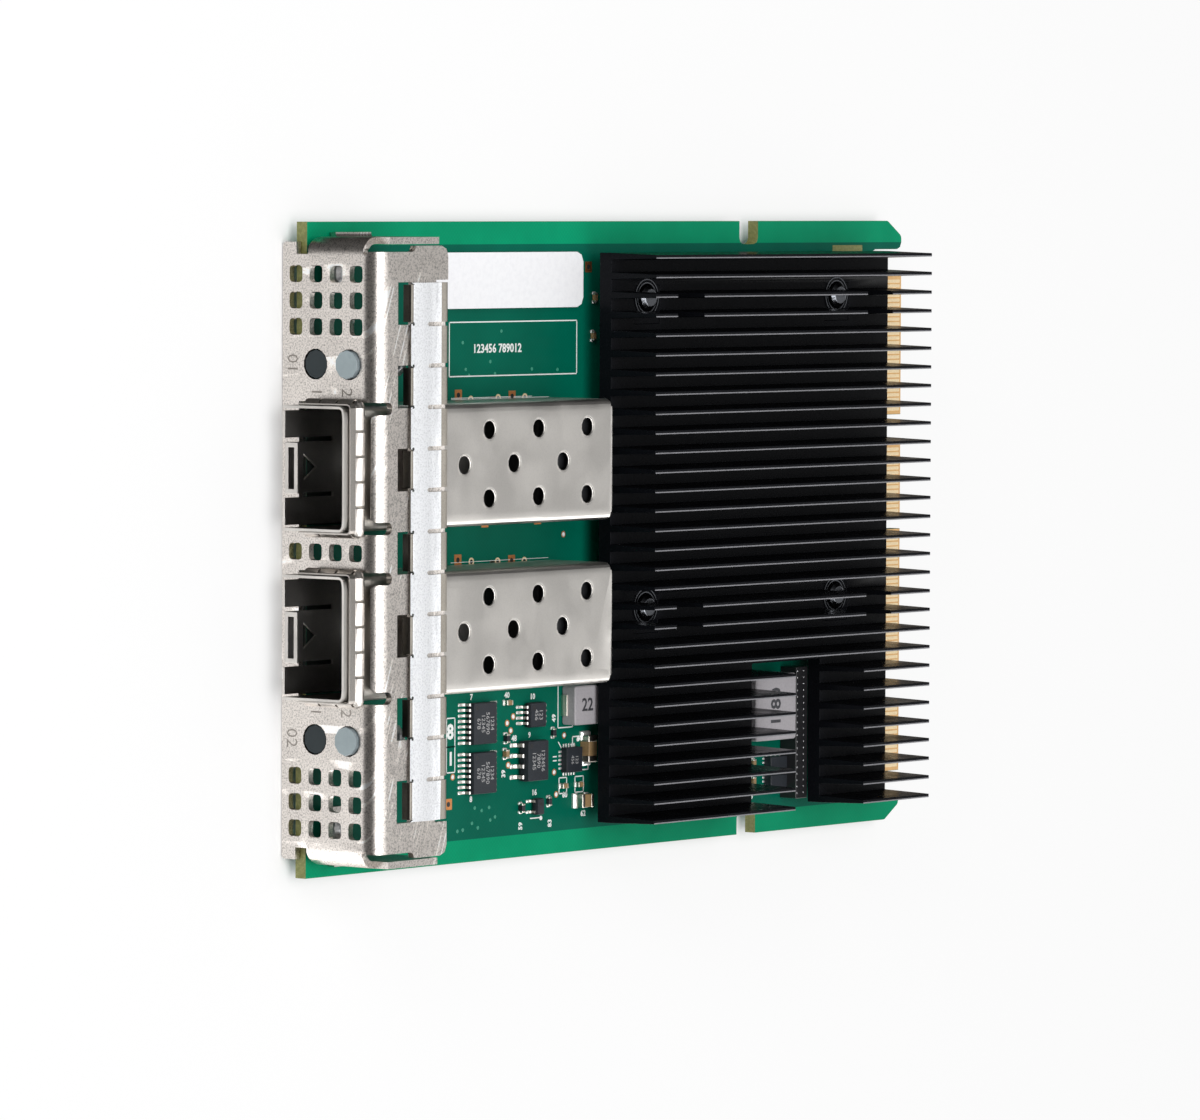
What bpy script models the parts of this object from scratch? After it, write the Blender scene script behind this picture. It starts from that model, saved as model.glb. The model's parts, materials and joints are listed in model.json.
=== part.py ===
"""Dual-port network adapter card for a small server card slot.

The card lies flat with its component side up.  Card coordinates have X across
the card, Y from the board's front edge back to the gold contacts, and Z up
from the board's component side.  The empty card_datum carries every piece and
puts the origin under the middle of the card's bounding box.
"""
from math import cos, pi, radians, sin

import bmesh
import bpy
from mathutils import Vector
from mathutils.geometry import delaunay_2d_cdt

MM = 0.001

# Clearances
SEAT_GAP = 0.3 * MM        # between a piece and what it sits on or passes through
SOLDER_GAP = 0.2 * MM      # height of the solder under a small part
CLIP_GAP = 0.1 * MM        # between a spring or light pipe and the sheet around it

# Edge contacts, ears and the board they add up to
CONTACT_PITCH = 0.6 * MM
CONTACT_MARGIN = 0.4 * MM          # bare board beside each run of contacts
CONTACT_LENGTH = 4.3 * MM
CONTACT_SETBACK = 0.35 * MM        # from the rear edge to the contacts
CONTACT_HEIGHT = 0.06 * MM
CONTACT_RUNS = (28, 14, 28, 14)    # contacts on each side, from -X to +X
KEY_NOTCH_WIDTHS = (3.7 * MM, 1.6 * MM, 4.0 * MM)
KEY_NOTCH_DEPTH = 5.6 * MM
EAR_SLOT_WIDTHS = (3.35 * MM, 2.55 * MM)
EAR_SLOT_DEPTH = 6.3 * MM
EAR_WIDTH = 3.6 * MM
EAR_CHAMFER_X = 1.9 * MM
EAR_CHAMFER_Y = 2.9 * MM
TONGUE_WIDTH = (sum(CONTACT_RUNS) * CONTACT_PITCH + 2 * len(CONTACT_RUNS) * CONTACT_MARGIN
                + sum(KEY_NOTCH_WIDTHS))
BOARD_WIDTH = TONGUE_WIDTH + sum(EAR_SLOT_WIDTHS) + 2 * EAR_WIDTH      # 76 mm
BOARD_LENGTH = 115 * MM
BOARD_THICKNESS = 1.57 * MM
GUIDE_NOTCH_Y = BOARD_LENGTH - 31.7 * MM       # middle of the notch in each guide edge
GUIDE_NOTCH_WIDTH = 3.7 * MM
GUIDE_NOTCH_DEPTH = 2.85 * MM

# Transceiver cages
CAGE_SPACING = 5.1 * MM            # between the two cages
CAGE_SHEET = 0.3 * MM
CAGE_WIDTH = 14.4 * MM
CAGE_X = (CAGE_SPACING + CAGE_WIDTH) / 2
CAGE_FRONT_Y = -4.5 * MM
CAGE_REAR_Y = 44.9 * MM
CAGE_TOP_Z = 9.6 * MM
CAGE_BEND = 0.3 * MM
CAGE_VENT = 2.3 * MM
CAGE_VENT_X = 4.0 * MM
CAGE_VENT_FIRST_Y = 17.05 * MM
CAGE_VENT_STEP = 4.55 * MM
CAGE_VENT_REAR = 5.0 * MM          # from the last row to the rear
CAGE_PIN_Y = (8 * MM, 21 * MM, 34 * MM)
CAGE_PIN_WIDTH = 0.8 * MM
LATCH_WIDTH = 5.9 * MM
LATCH_LIP = 1.9 * MM
CONNECTOR_SIDE_GAP = 1.0 * MM
CONNECTOR_LENGTH = 10.5 * MM
CONNECTOR_WIDTH = CAGE_WIDTH - 2 * (CAGE_SHEET + CONNECTOR_SIDE_GAP)
CONNECTOR_REAR_Y = CAGE_REAR_Y - CAGE_SHEET - 0.5 * MM
CONNECTOR_FRONT_Y = CONNECTOR_REAR_Y - CONNECTOR_LENGTH
CONNECTOR_TOP_Z = CAGE_TOP_Z - CAGE_SHEET - 0.9 * MM

# Faceplate bracket, folded from one sheet
SHEET = 0.8 * MM
FACE_BACK_Y = -0.2 * MM            # back of the faceplate, in front of the board
FACE_BOTTOM_Z = -2.8 * MM
FACE_HALF_WIDTH = BOARD_WIDTH / 2 - 2.3 * MM
FLANGE_OUTER_X = BOARD_WIDTH / 2 - 1.7 * MM
FLANGE_BEND = 1.2 * MM
FLANGE_REAR_Y = 10.1 * MM
FLANGE_BEND_BOTTOM_Z = 0.95 * MM
PANEL_ABOVE_CAGE = 1.9 * MM
PANEL_TOP_Z = CAGE_TOP_Z + PANEL_ABOVE_CAGE
PANEL_BEND = 1.2 * MM              # inside radius between face and panel
PANEL_LINE_Z = PANEL_TOP_Z - SHEET - PANEL_BEND
PANEL_HALF_WIDTH = FLANGE_OUTER_X - SHEET - 0.2 * MM
PANEL_REAR_Y = 11.65 * MM
PANEL_SLOT_WIDTH = 0.7 * MM        # between the panel and a flange
PANEL_SLOT_END_Y = 5.8 * MM
FLANGE_TOP_Z = PANEL_TOP_Z - 0.1 * MM
FLANGE_BEND_TOP_Z = PANEL_LINE_Z - 0.1 * MM
FOOT_BEND = 0.3 * MM
FOOT_REACH = 6.5 * MM              # inward from a flange's outer face
FOOT_ROOT_Y = (2.3 * MM, 3.5 * MM)
FOOT_PAD_REAR_Y = 6.4 * MM
LIP_FRONT_Y = 3.8 * MM
LIP_REACH = 0.5 * MM
BRACKET_SCREW = (FLANGE_OUTER_X - 4.1 * MM, 4.3 * MM)
BRACKET_SCREW_HEAD = 3.4 * MM
PORT_GAP = 0.4 * MM                # between a cage and the faceplate
PORT_HALF = CAGE_WIDTH / 2 + PORT_GAP
SLOT_WIDTH = 1.45 * MM             # relief slots beside each port
SLOT_END_Y = 1.75 * MM
PORT_TAB_ANGLE = radians(27)       # how far the tab over a port stops up the bend
LIGHT_X = CAGE_X + PORT_HALF + 4.3 * MM
LIGHT_HOLE = 3.6 * MM
ACTIVITY_Z = 2.2 * MM
LINK_Z = PANEL_LINE_Z - 2.25 * MM
VENT_SIZE = 1.95 * MM
VENT_PITCH = 3.04 * MM
VENT_FIRST_Z = -0.8 * MM
VENT_FIRST_X = LIGHT_X + 4.3 * MM
WINDOW_WIDTH = 4.9 * MM
WINDOW_Y = (2.7 * MM, 5.45 * MM)

# Contact spring strip over the panel's rear edge
STRIP_SHEET = 0.2 * MM
STRIP_MARGIN = 4.0 * MM            # least panel left beside the strip
FINGER_PITCH = 4.78 * MM
FINGERS = 2 * int((PANEL_HALF_WIDTH - STRIP_MARGIN) / FINGER_PITCH - 0.5) + 1
STRIP_FRONT_Y = 4.7 * MM
STRIP_BEND_Y = 9.3 * MM            # where the fingers start to slope down
STRIP_SLOPE = 1.1 * MM
STRIP_WRAP = 0.55 * MM             # inside radius of the wrapped rear edge
STRIP_HOOK = 0.8 * MM
SLIT_START_Y = 7.4 * MM
SLIT_WIDTH = 0.5 * MM

# Spring collars
COLLAR_SETBACK = 0.7 * MM          # from a cage's mouth to its collar
COLLAR_BAND = 1.0 * MM
COLLAR_BULGE = 0.5 * MM
COLLAR_FINGER = 2.9 * MM

# Light pipes
PIPE_DIAMETER = LIGHT_HOLE - 2 * CLIP_GAP
PIPE_PROUD = 0.5 * MM              # of the upper pipe; the lower one is flush
LINK_PIPE_REAR_Y = 8.2 * MM
ACTIVITY_PIPE_REAR_Y = 3.2 * MM

# Heat sink
SINK_INSET = 3.75 * MM             # from the board's -X edge
SINK_FRONT_Y = CAGE_REAR_Y + 5.65 * MM
SINK_REAR_Y = BOARD_LENGTH - 8.85 * MM
SINK_BASE_Z = 2.7 * MM
SINK_BASE = 1.8 * MM
SINK_TOP_Z = 11.35 * MM
FIN_PITCH = 2.338 * MM
FIN_COUNT = int((BOARD_WIDTH - 2 * SINK_INSET) / FIN_PITCH) + 1
FIN_ROOT = 0.85 * MM
FIN_TIP = 0.42 * MM
NOTCH_X = BOARD_WIDTH / 2 - 21.5 * MM
NOTCH_REAR_Y = SINK_REAR_Y - 13.75 * MM
NOTCH_LENGTH = 13.8 * MM
NOTCH_MARGINS = (1.4 * MM, 4.0 * MM)       # from the notch's front and rear to the inductor in it
SCREW_FINS = (2, 18)               # first of the two fins cut above each screw
SCREW_INSETS = (6.85 * MM, 10.75 * MM)     # from the sink's front and rear
SCREW_SIDE = 0.35 * MM             # from a screw's middle to that fin's
SCREW_SHANK = 1.8 * MM
SCREW_HEAD = 3.2 * MM
SCREW_HEAD_HEIGHT = 1.0 * MM
SCREW_SEAT = 0.6 * MM              # depth of the counterbore
ACCESS_LENGTH = 5.1 * MM
ACCESS_DEPTH = 0.1 * MM            # how far the cutter marks the base
STANDOFF_DIAMETER = 4.2 * MM

# Controller, insulator and label
CONTROLLER_SIZE = 25 * MM
CONTROLLER_HEIGHT = 1.4 * MM
FILM_THICKNESS = 0.25 * MM
FILM_INSET = (5.5 * MM, 12 * MM, 11 * MM)   # from the sides, the front and the rear
LABEL_SIZE = (6.65 * MM, 29.7 * MM)
LABEL_INSET = 3.65 * MM

COLOURS = {
    "solder_mask": ((0.0, 0.16, 0.09, 1), 0.45, 0.0),
    "nickel_steel": ((0.62, 0.58, 0.54, 1), 0.38, 1.0),
    "bright_tin": ((0.72, 0.75, 0.79, 1), 0.28, 1.0),
    "cage_steel": ((0.42, 0.39, 0.36, 1), 0.35, 1.0),
    "black_anodised": ((0.012, 0.012, 0.014, 1), 0.4, 0.3),
    "black_plastic": ((0.02, 0.02, 0.022, 1), 0.5, 0.0),
    "light_pipe": ((0.35, 0.4, 0.43, 1), 0.2, 0.0),
    "ferrite_grey": ((0.4, 0.39, 0.4, 1), 0.5, 0.0),
    "ceramic": ((0.35, 0.25, 0.14, 1), 0.5, 0.0),
    "label_white": ((0.85, 0.85, 0.87, 1), 0.5, 0.0),
    "screw_steel": ((0.1, 0.1, 0.11, 1), 0.3, 1.0),
    "thermal_pad": ((0.3, 0.32, 0.36, 1), 0.8, 0.0),
}


def clear_scene():
    """Remove whatever the start-up file holds."""
    for thing in list(bpy.data.objects):
        bpy.data.objects.remove(thing, do_unlink=True)


def make_material(name):
    """A Principled material from the colour table."""
    colour, roughness, metallic = COLOURS[name]
    material = bpy.data.materials.new(name)
    material.use_nodes = True
    shader = material.node_tree.nodes["Principled BSDF"]
    shader.inputs["Base Color"].default_value = colour
    shader.inputs["Roughness"].default_value = roughness
    shader.inputs["Metallic"].default_value = metallic
    return material


def make_datum():
    """The empty that carries the card, placed under its bounding box's middle."""
    datum = bpy.data.objects.new("card_datum", None)
    datum.location = (0, -(BOARD_LENGTH + CAGE_FRONT_Y) / 2, -FACE_BOTTOM_Z)
    bpy.context.collection.objects.link(datum)
    return datum


def add_piece(name, bm, colour, location=(0, 0, 0), turn_x=0.0, smooth=0.0):
    """Make a named piece from a bmesh, carried by the datum."""
    bmesh.ops.recalc_face_normals(bm, faces=bm.faces)
    mesh = bpy.data.meshes.new(name)
    bm.to_mesh(mesh)
    bm.free()
    if smooth:
        mesh.shade_smooth()
        mesh.set_sharp_from_angle(angle=smooth)
    material = bpy.data.materials.get(colour) or make_material(colour)
    mesh.materials.append(material)
    piece = bpy.data.objects.new(name, mesh)
    piece.location = location
    piece.rotation_euler.x = turn_x
    piece.parent = bpy.data.objects["card_datum"]
    bpy.context.collection.objects.link(piece)
    return piece


def combine(piece, tool_bm, operation):
    """Join to, or cut from, a piece the shapes in a second bmesh."""
    tool = add_piece(f"{piece.name}_{operation.lower()}_tool", tool_bm, "black_plastic")
    tool.display_type = "WIRE"
    tool.hide_render = True
    tool.hide_set(True)
    modifier = piece.modifiers.new(operation.title(), "BOOLEAN")
    modifier.operation = operation
    modifier.object = tool


def circle(x, y, diameter, sides):
    """Points of a round hole."""
    steps = [2 * pi * (i + 0.5) / sides for i in range(sides)]
    return [(x + diameter / 2 * cos(a), y + diameter / 2 * sin(a)) for a in steps]


def rectangle(x, y, width, height):
    """Corners of a rectangle about its middle, as outline points."""
    w, h = width / 2, height / 2
    return [(x - w, y - h), (x + w, y - h), (x + w, y + h), (x - w, y + h)]


def rounded(points, steps=2):
    """Outline points (x, y) or (x, y, radius) with the given corners rounded."""
    corners = [(Vector(p[:2]), p[2] if len(p) > 2 else 0.0) for p in points]
    result = []
    for i, (corner, radius) in enumerate(corners):
        if not radius:
            result.append(tuple(corner))
            continue
        before = (corners[i - 1][0] - corner).normalized()
        after = (corners[(i + 1) % len(corners)][0] - corner).normalized()
        half = before.angle(after) / 2
        centre = corner + (before + after).normalized() * radius / sin(half)
        start = corner + before * radius * cos(half) / sin(half) - centre
        end = corner + after * radius * cos(half) / sin(half) - centre
        turn = start.angle_signed(end)
        for k in range(steps + 1):
            a = -turn * k / steps
            result.append((centre.x + start.x * cos(a) - start.y * sin(a),
                           centre.y + start.x * sin(a) + start.y * cos(a)))
    return result


def rounded_box_outline(x, y, width, height, radius, steps=2):
    """Outline of a rectangle whose four corners share one radius."""
    return rounded([(px, py, radius) for px, py in rectangle(x, y, width, height)], steps)


def sheet(outline, holes, low, high):
    """A flat closed plate between two heights, with holes through it."""
    points, loops = [], []
    for loop in [outline, *holes]:
        loops.append(list(range(len(points), len(points) + len(loop))))
        points += [Vector(p) / MM for p in loop]
    inside_with_holes = 2
    filled = delaunay_2d_cdt(points, [], loops, inside_with_holes, 1e-6)
    bm = bmesh.new()
    verts = [bm.verts.new((p.x * MM, p.y * MM, low)) for p in filled[0]]
    faces = [bm.faces.new([verts[i] for i in face]) for face in filled[2]]
    walls = bmesh.ops.extrude_face_region(bm, geom=faces)["geom"]
    bmesh.ops.translate(bm, vec=(0, 0, high - low),
                        verts=[g for g in walls if isinstance(g, bmesh.types.BMVert)])
    bmesh.ops.recalc_face_normals(bm, faces=bm.faces)
    return bm


def block(low, high, bm=None):
    """A box between two corners, in a new bmesh or added to one."""
    bm = bm or bmesh.new()
    centre = [(a + b) / 2 for a, b in zip(low, high)]
    made = bmesh.ops.create_cube(bm, size=1.0)["verts"]
    bmesh.ops.scale(bm, verts=made, vec=[b - a for a, b in zip(low, high)])
    bmesh.ops.translate(bm, verts=made, vec=centre)
    return bm


def turned(profile, sides, x=0.0, y=0.0, bm=None):
    """A solid of revolution about a vertical axis, from (radius, z) points.

    A profile that starts and ends on the axis is capped there, and any other
    profile is a closed ring section.
    """
    bm = bm or bmesh.new()
    solid = profile[0][0] == 0
    rings = []
    for radius, z in profile:
        count = 1 if radius == 0 else sides
        turn = [2 * pi * i / sides for i in range(count)]
        rings.append([bm.verts.new((x + radius * cos(a), y + radius * sin(a), z)) for a in turn])
    pairs = list(zip(rings, rings[1:])) + ([] if solid else [(rings[-1], rings[0])])
    for low, high in pairs:
        for i in range(sides):
            j = (i + 1) % sides
            corners = [low[i % len(low)], low[j % len(low)], high[j % len(high)], high[i % len(high)]]
            bm.faces.new(list(dict.fromkeys(corners)))
    bmesh.ops.recalc_face_normals(bm, faces=bm.faces)
    return bm


def sections(spans, bm=None):
    """A closed box-like solid lofted through rectangles.

    Each span is (z, low x, high x, low y, high y).
    """
    bm = bm or bmesh.new()
    rings = [[bm.verts.new((x, y, z)) for x, y in ((x0, y0), (x1, y0), (x1, y1), (x0, y1))]
             for z, x0, x1, y0, y1 in spans]
    for low, high in zip(rings, rings[1:]):
        for i in range(4):
            bm.faces.new((low[i - 1], low[i], high[i], high[i - 1]))
    bm.faces.new(rings[0])
    bm.faces.new(rings[-1])
    bmesh.ops.recalc_face_normals(bm, faces=bm.faces)
    return bm


def fold(bm, origin, outward, towards, radius, angle, steps, region=lambda p: True):
    """Bend what lies beyond a fold line, as a press brake would.

    origin lies on the fold line, on the face inside the bend; outward crosses
    the line, and towards points from the sheet to the bend's centre.
    """
    origin, outward, towards = Vector(origin), Vector(outward), Vector(towards)
    for k in range(steps + 1):
        line = origin + outward * radius * angle * k / steps
        chosen = [f for f in bm.faces if any(region(v.co) for v in f.verts)]
        geom = list({v for f in chosen for v in f.verts} | {e for f in chosen for e in f.edges}) + chosen
        bmesh.ops.bisect_plane(bm, geom=geom, plane_co=line, plane_no=outward, dist=1e-7)
    bmesh.ops.triangulate(bm, faces=bm.faces)
    for vert in bm.verts:
        across = (vert.co - origin).dot(outward)
        if across <= 1e-7 or not region(vert.co):
            continue
        depth = (vert.co - origin).dot(towards)
        turn = min(across / radius, angle)
        beyond = max(across - radius * angle, 0.0)
        flat = vert.co - outward * across - towards * depth
        vert.co = (flat + towards * radius
                   + (outward * sin(turn) - towards * cos(turn)) * (radius - depth)
                   + (outward * cos(turn) + towards * sin(turn)) * beyond)


def mirrored(half):
    """A closed outline from its +X half, listed from the -Y end to the +Y end."""
    return half + [(-p[0], *p[1:]) for p in reversed(half)]


def contact_runs():
    """The (low x, high x) of each contact tongue section, from -X to +X."""
    widths = [count * CONTACT_PITCH + 2 * CONTACT_MARGIN for count in CONTACT_RUNS]
    x = -BOARD_WIDTH / 2 + EAR_WIDTH + EAR_SLOT_WIDTHS[0]
    runs = []
    for width, notch in zip(widths, (*KEY_NOTCH_WIDTHS, 0.0)):
        runs.append((x, x + width))
        x += width + notch
    return runs


def sink_screws():
    """Middles of the four heat sink screws."""
    return [(fin_middle(fin) + SCREW_SIDE, y) for fin in SCREW_FINS
            for y in (SINK_FRONT_Y + SCREW_INSETS[0], SINK_REAR_Y - SCREW_INSETS[1])]


def cage_pins(centre):
    """Middles of a cage's board pins."""
    wall = (CAGE_WIDTH - CAGE_SHEET) / 2
    return [(centre + side * wall, y) for side in (-1, 1) for y in CAGE_PIN_Y]


def board_edge(side):
    """One long edge of the board, from its front corner to the ear's slot."""
    edge = side * BOARD_WIDTH / 2
    notch = side * (BOARD_WIDTH / 2 - GUIDE_NOTCH_DEPTH)
    ear = side * (BOARD_WIDTH / 2 - EAR_WIDTH)
    low, high = (GUIDE_NOTCH_Y + k * GUIDE_NOTCH_WIDTH / 2 for k in (-1, 1))
    run = contact_runs()[0][0] if side < 0 else contact_runs()[-1][1]
    slot = BOARD_LENGTH - EAR_SLOT_DEPTH
    return [(edge, 0), (edge, low), (notch, low, 0.8 * MM), (notch, high, 0.8 * MM), (edge, high),
            (edge, BOARD_LENGTH - EAR_CHAMFER_Y, 0.6 * MM),
            (edge - side * EAR_CHAMFER_X, BOARD_LENGTH, 0.6 * MM),
            (ear, BOARD_LENGTH, 0.9 * MM), (ear, slot, 0.8 * MM), (run, slot, 0.8 * MM),
            (run, BOARD_LENGTH)]


def make_board():
    """The board with its guide notches, ears, key notches and drilled holes."""
    keys = []
    runs = contact_runs()
    bottom = BOARD_LENGTH - KEY_NOTCH_DEPTH
    for (_, left), (right, _) in reversed(list(zip(runs, runs[1:]))):
        radius = min(0.8 * MM, 0.45 * (right - left))
        keys += [(right, BOARD_LENGTH), (right, bottom, radius), (left, bottom, radius), (left, BOARD_LENGTH)]
    outline = rounded(board_edge(1) + keys + list(reversed(board_edge(-1))))
    pin_gap = 2 * SEAT_GAP
    holes = [circle(x, y, SCREW_SHANK + pin_gap, 12) for x, y in sink_screws()]
    holes += [circle(s * BRACKET_SCREW[0], BRACKET_SCREW[1], SCREW_SHANK + pin_gap, 12) for s in (-1, 1)]
    holes += [rectangle(x, y, CAGE_SHEET + pin_gap, CAGE_PIN_WIDTH + pin_gap)
              for side in (-1, 1) for x, y in cage_pins(side * CAGE_X)]
    board = add_piece("circuit_board", sheet(outline, holes, -BOARD_THICKNESS, 0), "solder_mask")
    lands = bmesh.new()
    rear = BOARD_LENGTH - CONTACT_SETBACK
    for left, right in runs:
        x0, x1 = left + CONTACT_MARGIN, right - CONTACT_MARGIN
        block((x0, rear - CONTACT_LENGTH, -BOARD_THICKNESS - CONTACT_HEIGHT),
              (x1, rear, CONTACT_HEIGHT), lands)
    combine(board, lands, "UNION")


def panel_flat(y):
    """Height on the flat bracket sheet of a point at y on the top panel."""
    return PANEL_LINE_Z + PANEL_BEND * pi / 2 + y - (FACE_BACK_Y + PANEL_BEND)


def flange_flat(y):
    """Distance from the middle of the flat sheet of a point at y on a flange."""
    fold_line = FLANGE_OUTER_X - SHEET - FLANGE_BEND
    return fold_line + FLANGE_BEND * pi / 2 + y - (FACE_BACK_Y + FLANGE_BEND)


def foot_fold_height():
    """Height of the line where the foot and the lip leave a flange."""
    return SEAT_GAP + SHEET + FOOT_BEND


def port_opening(centre):
    """Hole for a cage, with its tab over the port and a slot each side of it."""
    top = panel_flat(SLOT_END_Y)
    tab = PANEL_LINE_Z + PANEL_BEND * PORT_TAB_ANGLE
    outer = PORT_HALF
    inner = outer - SLOT_WIDTH
    end = 0.49 * SLOT_WIDTH
    right = [(outer, -SEAT_GAP), (outer, top, end), (inner, top, end), (inner, tab, 0.5 * MM)]
    points = right + [(-p[0], *p[1:]) for p in reversed(right)]
    return rounded([(centre + p[0], *p[1:]) for p in points], 3)


def vent_centres():
    """X and Z of every vent: as many rows as fit beside the lights, and one between the ports."""
    limit = FLANGE_OUTER_X - SHEET - FLANGE_BEND - VENT_SIZE / 2 - 0.2 * MM
    rows = int((limit - VENT_FIRST_X) / VENT_PITCH) + 1
    columns = int((PANEL_LINE_Z - VENT_SIZE / 2 - VENT_FIRST_Z) / VENT_PITCH) + 1
    side_rows = [VENT_FIRST_X + k * VENT_PITCH for k in range(rows)]
    return [(x, VENT_FIRST_Z + k * VENT_PITCH)
            for x in (*(-x for x in side_rows), 0.0, *side_rows) for k in range(columns)]


def bracket_half_outline():
    """The +X half of the flat bracket, from the bottom edge to the rear edge."""
    bend = FLANGE_OUTER_X - SHEET - FLANGE_BEND
    foot_line = foot_fold_height()
    bend_length = FOOT_BEND * pi / 2
    foot_end = foot_line - bend_length - (FOOT_REACH - SHEET - FOOT_BEND)
    lip_end = foot_line - bend_length - (LIP_REACH - FOOT_BEND)
    pad_start = lip_end - 0.6 * MM
    root_front, root_rear = (flange_flat(y) for y in FOOT_ROOT_Y)
    corner = flange_flat(FACE_BACK_Y + FLANGE_BEND + 0.3 * MM)
    narrow = PANEL_HALF_WIDTH - PANEL_SLOT_WIDTH
    strip_end = FINGERS * FINGER_PITCH / 2 + SEAT_GAP
    return [
        (FACE_HALF_WIDTH, FACE_BOTTOM_Z, 0.4 * MM), (FACE_HALF_WIDTH, -0.75 * MM),
        (bend, -0.75 * MM), (bend, FLANGE_BEND_BOTTOM_Z), (root_front, FLANGE_BEND_BOTTOM_Z),
        (root_front, foot_end), (flange_flat(FOOT_PAD_REAR_Y), foot_end, 0.8 * MM),
        (flange_flat(FOOT_PAD_REAR_Y), pad_start, 0.8 * MM), (root_rear, pad_start),
        (root_rear, foot_line + 0.3 * MM), (flange_flat(LIP_FRONT_Y), foot_line + 0.3 * MM),
        (flange_flat(LIP_FRONT_Y), lip_end), (flange_flat(FLANGE_REAR_Y), lip_end),
        (flange_flat(FLANGE_REAR_Y), FLANGE_TOP_Z), (corner, FLANGE_TOP_Z),
        (corner, FLANGE_BEND_TOP_Z), (bend + 0.6 * MM, FLANGE_BEND_TOP_Z, 0.25 * MM),
        (bend, FLANGE_BEND_TOP_Z - 0.3 * MM, 0.3 * MM), (bend, FLANGE_BEND_TOP_Z + 0.4 * MM),
        (narrow, FLANGE_BEND_TOP_Z + 0.4 * MM),
        (narrow, panel_flat(PANEL_SLOT_END_Y), 0.6 * MM),
        (PANEL_HALF_WIDTH, panel_flat(PANEL_SLOT_END_Y)),
        (PANEL_HALF_WIDTH, panel_flat(PANEL_REAR_Y), 1.2 * MM),
        (strip_end, panel_flat(PANEL_REAR_Y)), (strip_end, panel_flat(STRIP_BEND_Y + 0.2 * MM)),
    ]


def make_bracket():
    """The faceplate, top panel, side flanges, feet and lips, folded from one sheet."""
    foot_line = foot_fold_height()
    screw_x = FLANGE_OUTER_X - SHEET - FOOT_BEND - BRACKET_SCREW[0]
    screw = (flange_flat(BRACKET_SCREW[1]), foot_line - FOOT_BEND * pi / 2 - screw_x)
    holes = [rounded_box_outline(x, z, VENT_SIZE, VENT_SIZE, 0.45 * MM) for x, z in vent_centres()]
    window_depth = WINDOW_Y[1] - WINDOW_Y[0]
    for side in (-1, 1):
        holes += [circle(side * LIGHT_X, z, LIGHT_HOLE, 16) for z in (ACTIVITY_Z, LINK_Z)]
        holes.append(port_opening(side * CAGE_X))
        holes.append(circle(side * screw[0], screw[1], SCREW_SHANK + 2 * SEAT_GAP, 12))
    for x in window_middles():
        holes.append(rectangle(x, panel_flat(sum(WINDOW_Y) / 2), WINDOW_WIDTH, window_depth))
    outline = rounded(mirrored(bracket_half_outline()))
    bm = sheet(outline, holes, 0, SHEET)
    pad_top = foot_line - FOOT_BEND * pi / 2 - 0.4 * MM
    root_rear = flange_flat((FOOT_ROOT_Y[1] + LIP_FRONT_Y) / 2)
    flange_line = FLANGE_OUTER_X - SHEET - FLANGE_BEND
    for side in (-1, 1):
        def beyond(p, start, side=side):
            return side * p.x > start
        fold(bm, (0, foot_line, 0), (0, -1, 0), (0, 0, -1), FOOT_BEND, pi / 2, 3,
             lambda p: beyond(p, FACE_HALF_WIDTH + 0.1 * MM) and p.y < foot_line + 0.01 * MM
             and (not beyond(p, root_rear) or p.y < pad_top))
        fold(bm, (0, foot_line, SHEET), (0, -1, 0), (0, 0, 1), FOOT_BEND, pi / 2, 3,
             lambda p: beyond(p, root_rear) and p.y < foot_line + 0.01 * MM and p.z > -0.01 * MM)
        fold(bm, (side * flange_line, 0, 0), (side, 0, 0), (0, 0, -1), FLANGE_BEND, pi / 2, 5,
             lambda p: beyond(p, flange_line) and (p.y > 0 or beyond(p, FACE_HALF_WIDTH + 0.1 * MM))
             and (p.y < PANEL_LINE_Z or beyond(p, PANEL_HALF_WIDTH))
             and p.y < panel_flat(4 * MM))
    fold(bm, (0, PANEL_LINE_Z, 0), (0, 1, 0), (0, 0, -1), PANEL_BEND, pi / 2, 6,
         lambda p: abs(p.x) < PANEL_HALF_WIDTH - 0.1 * MM or p.y > panel_flat(4 * MM))
    add_piece("io_bracket", bm, "nickel_steel", (0, FACE_BACK_Y, 0), pi / 2, radians(30))


def window_middles():
    """X of each window in the panel: every second finger, counted from the middle one."""
    count = (FINGERS - 1) // 4
    return [2 * k * FINGER_PITCH for k in range(-count, count + 1)]


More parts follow.
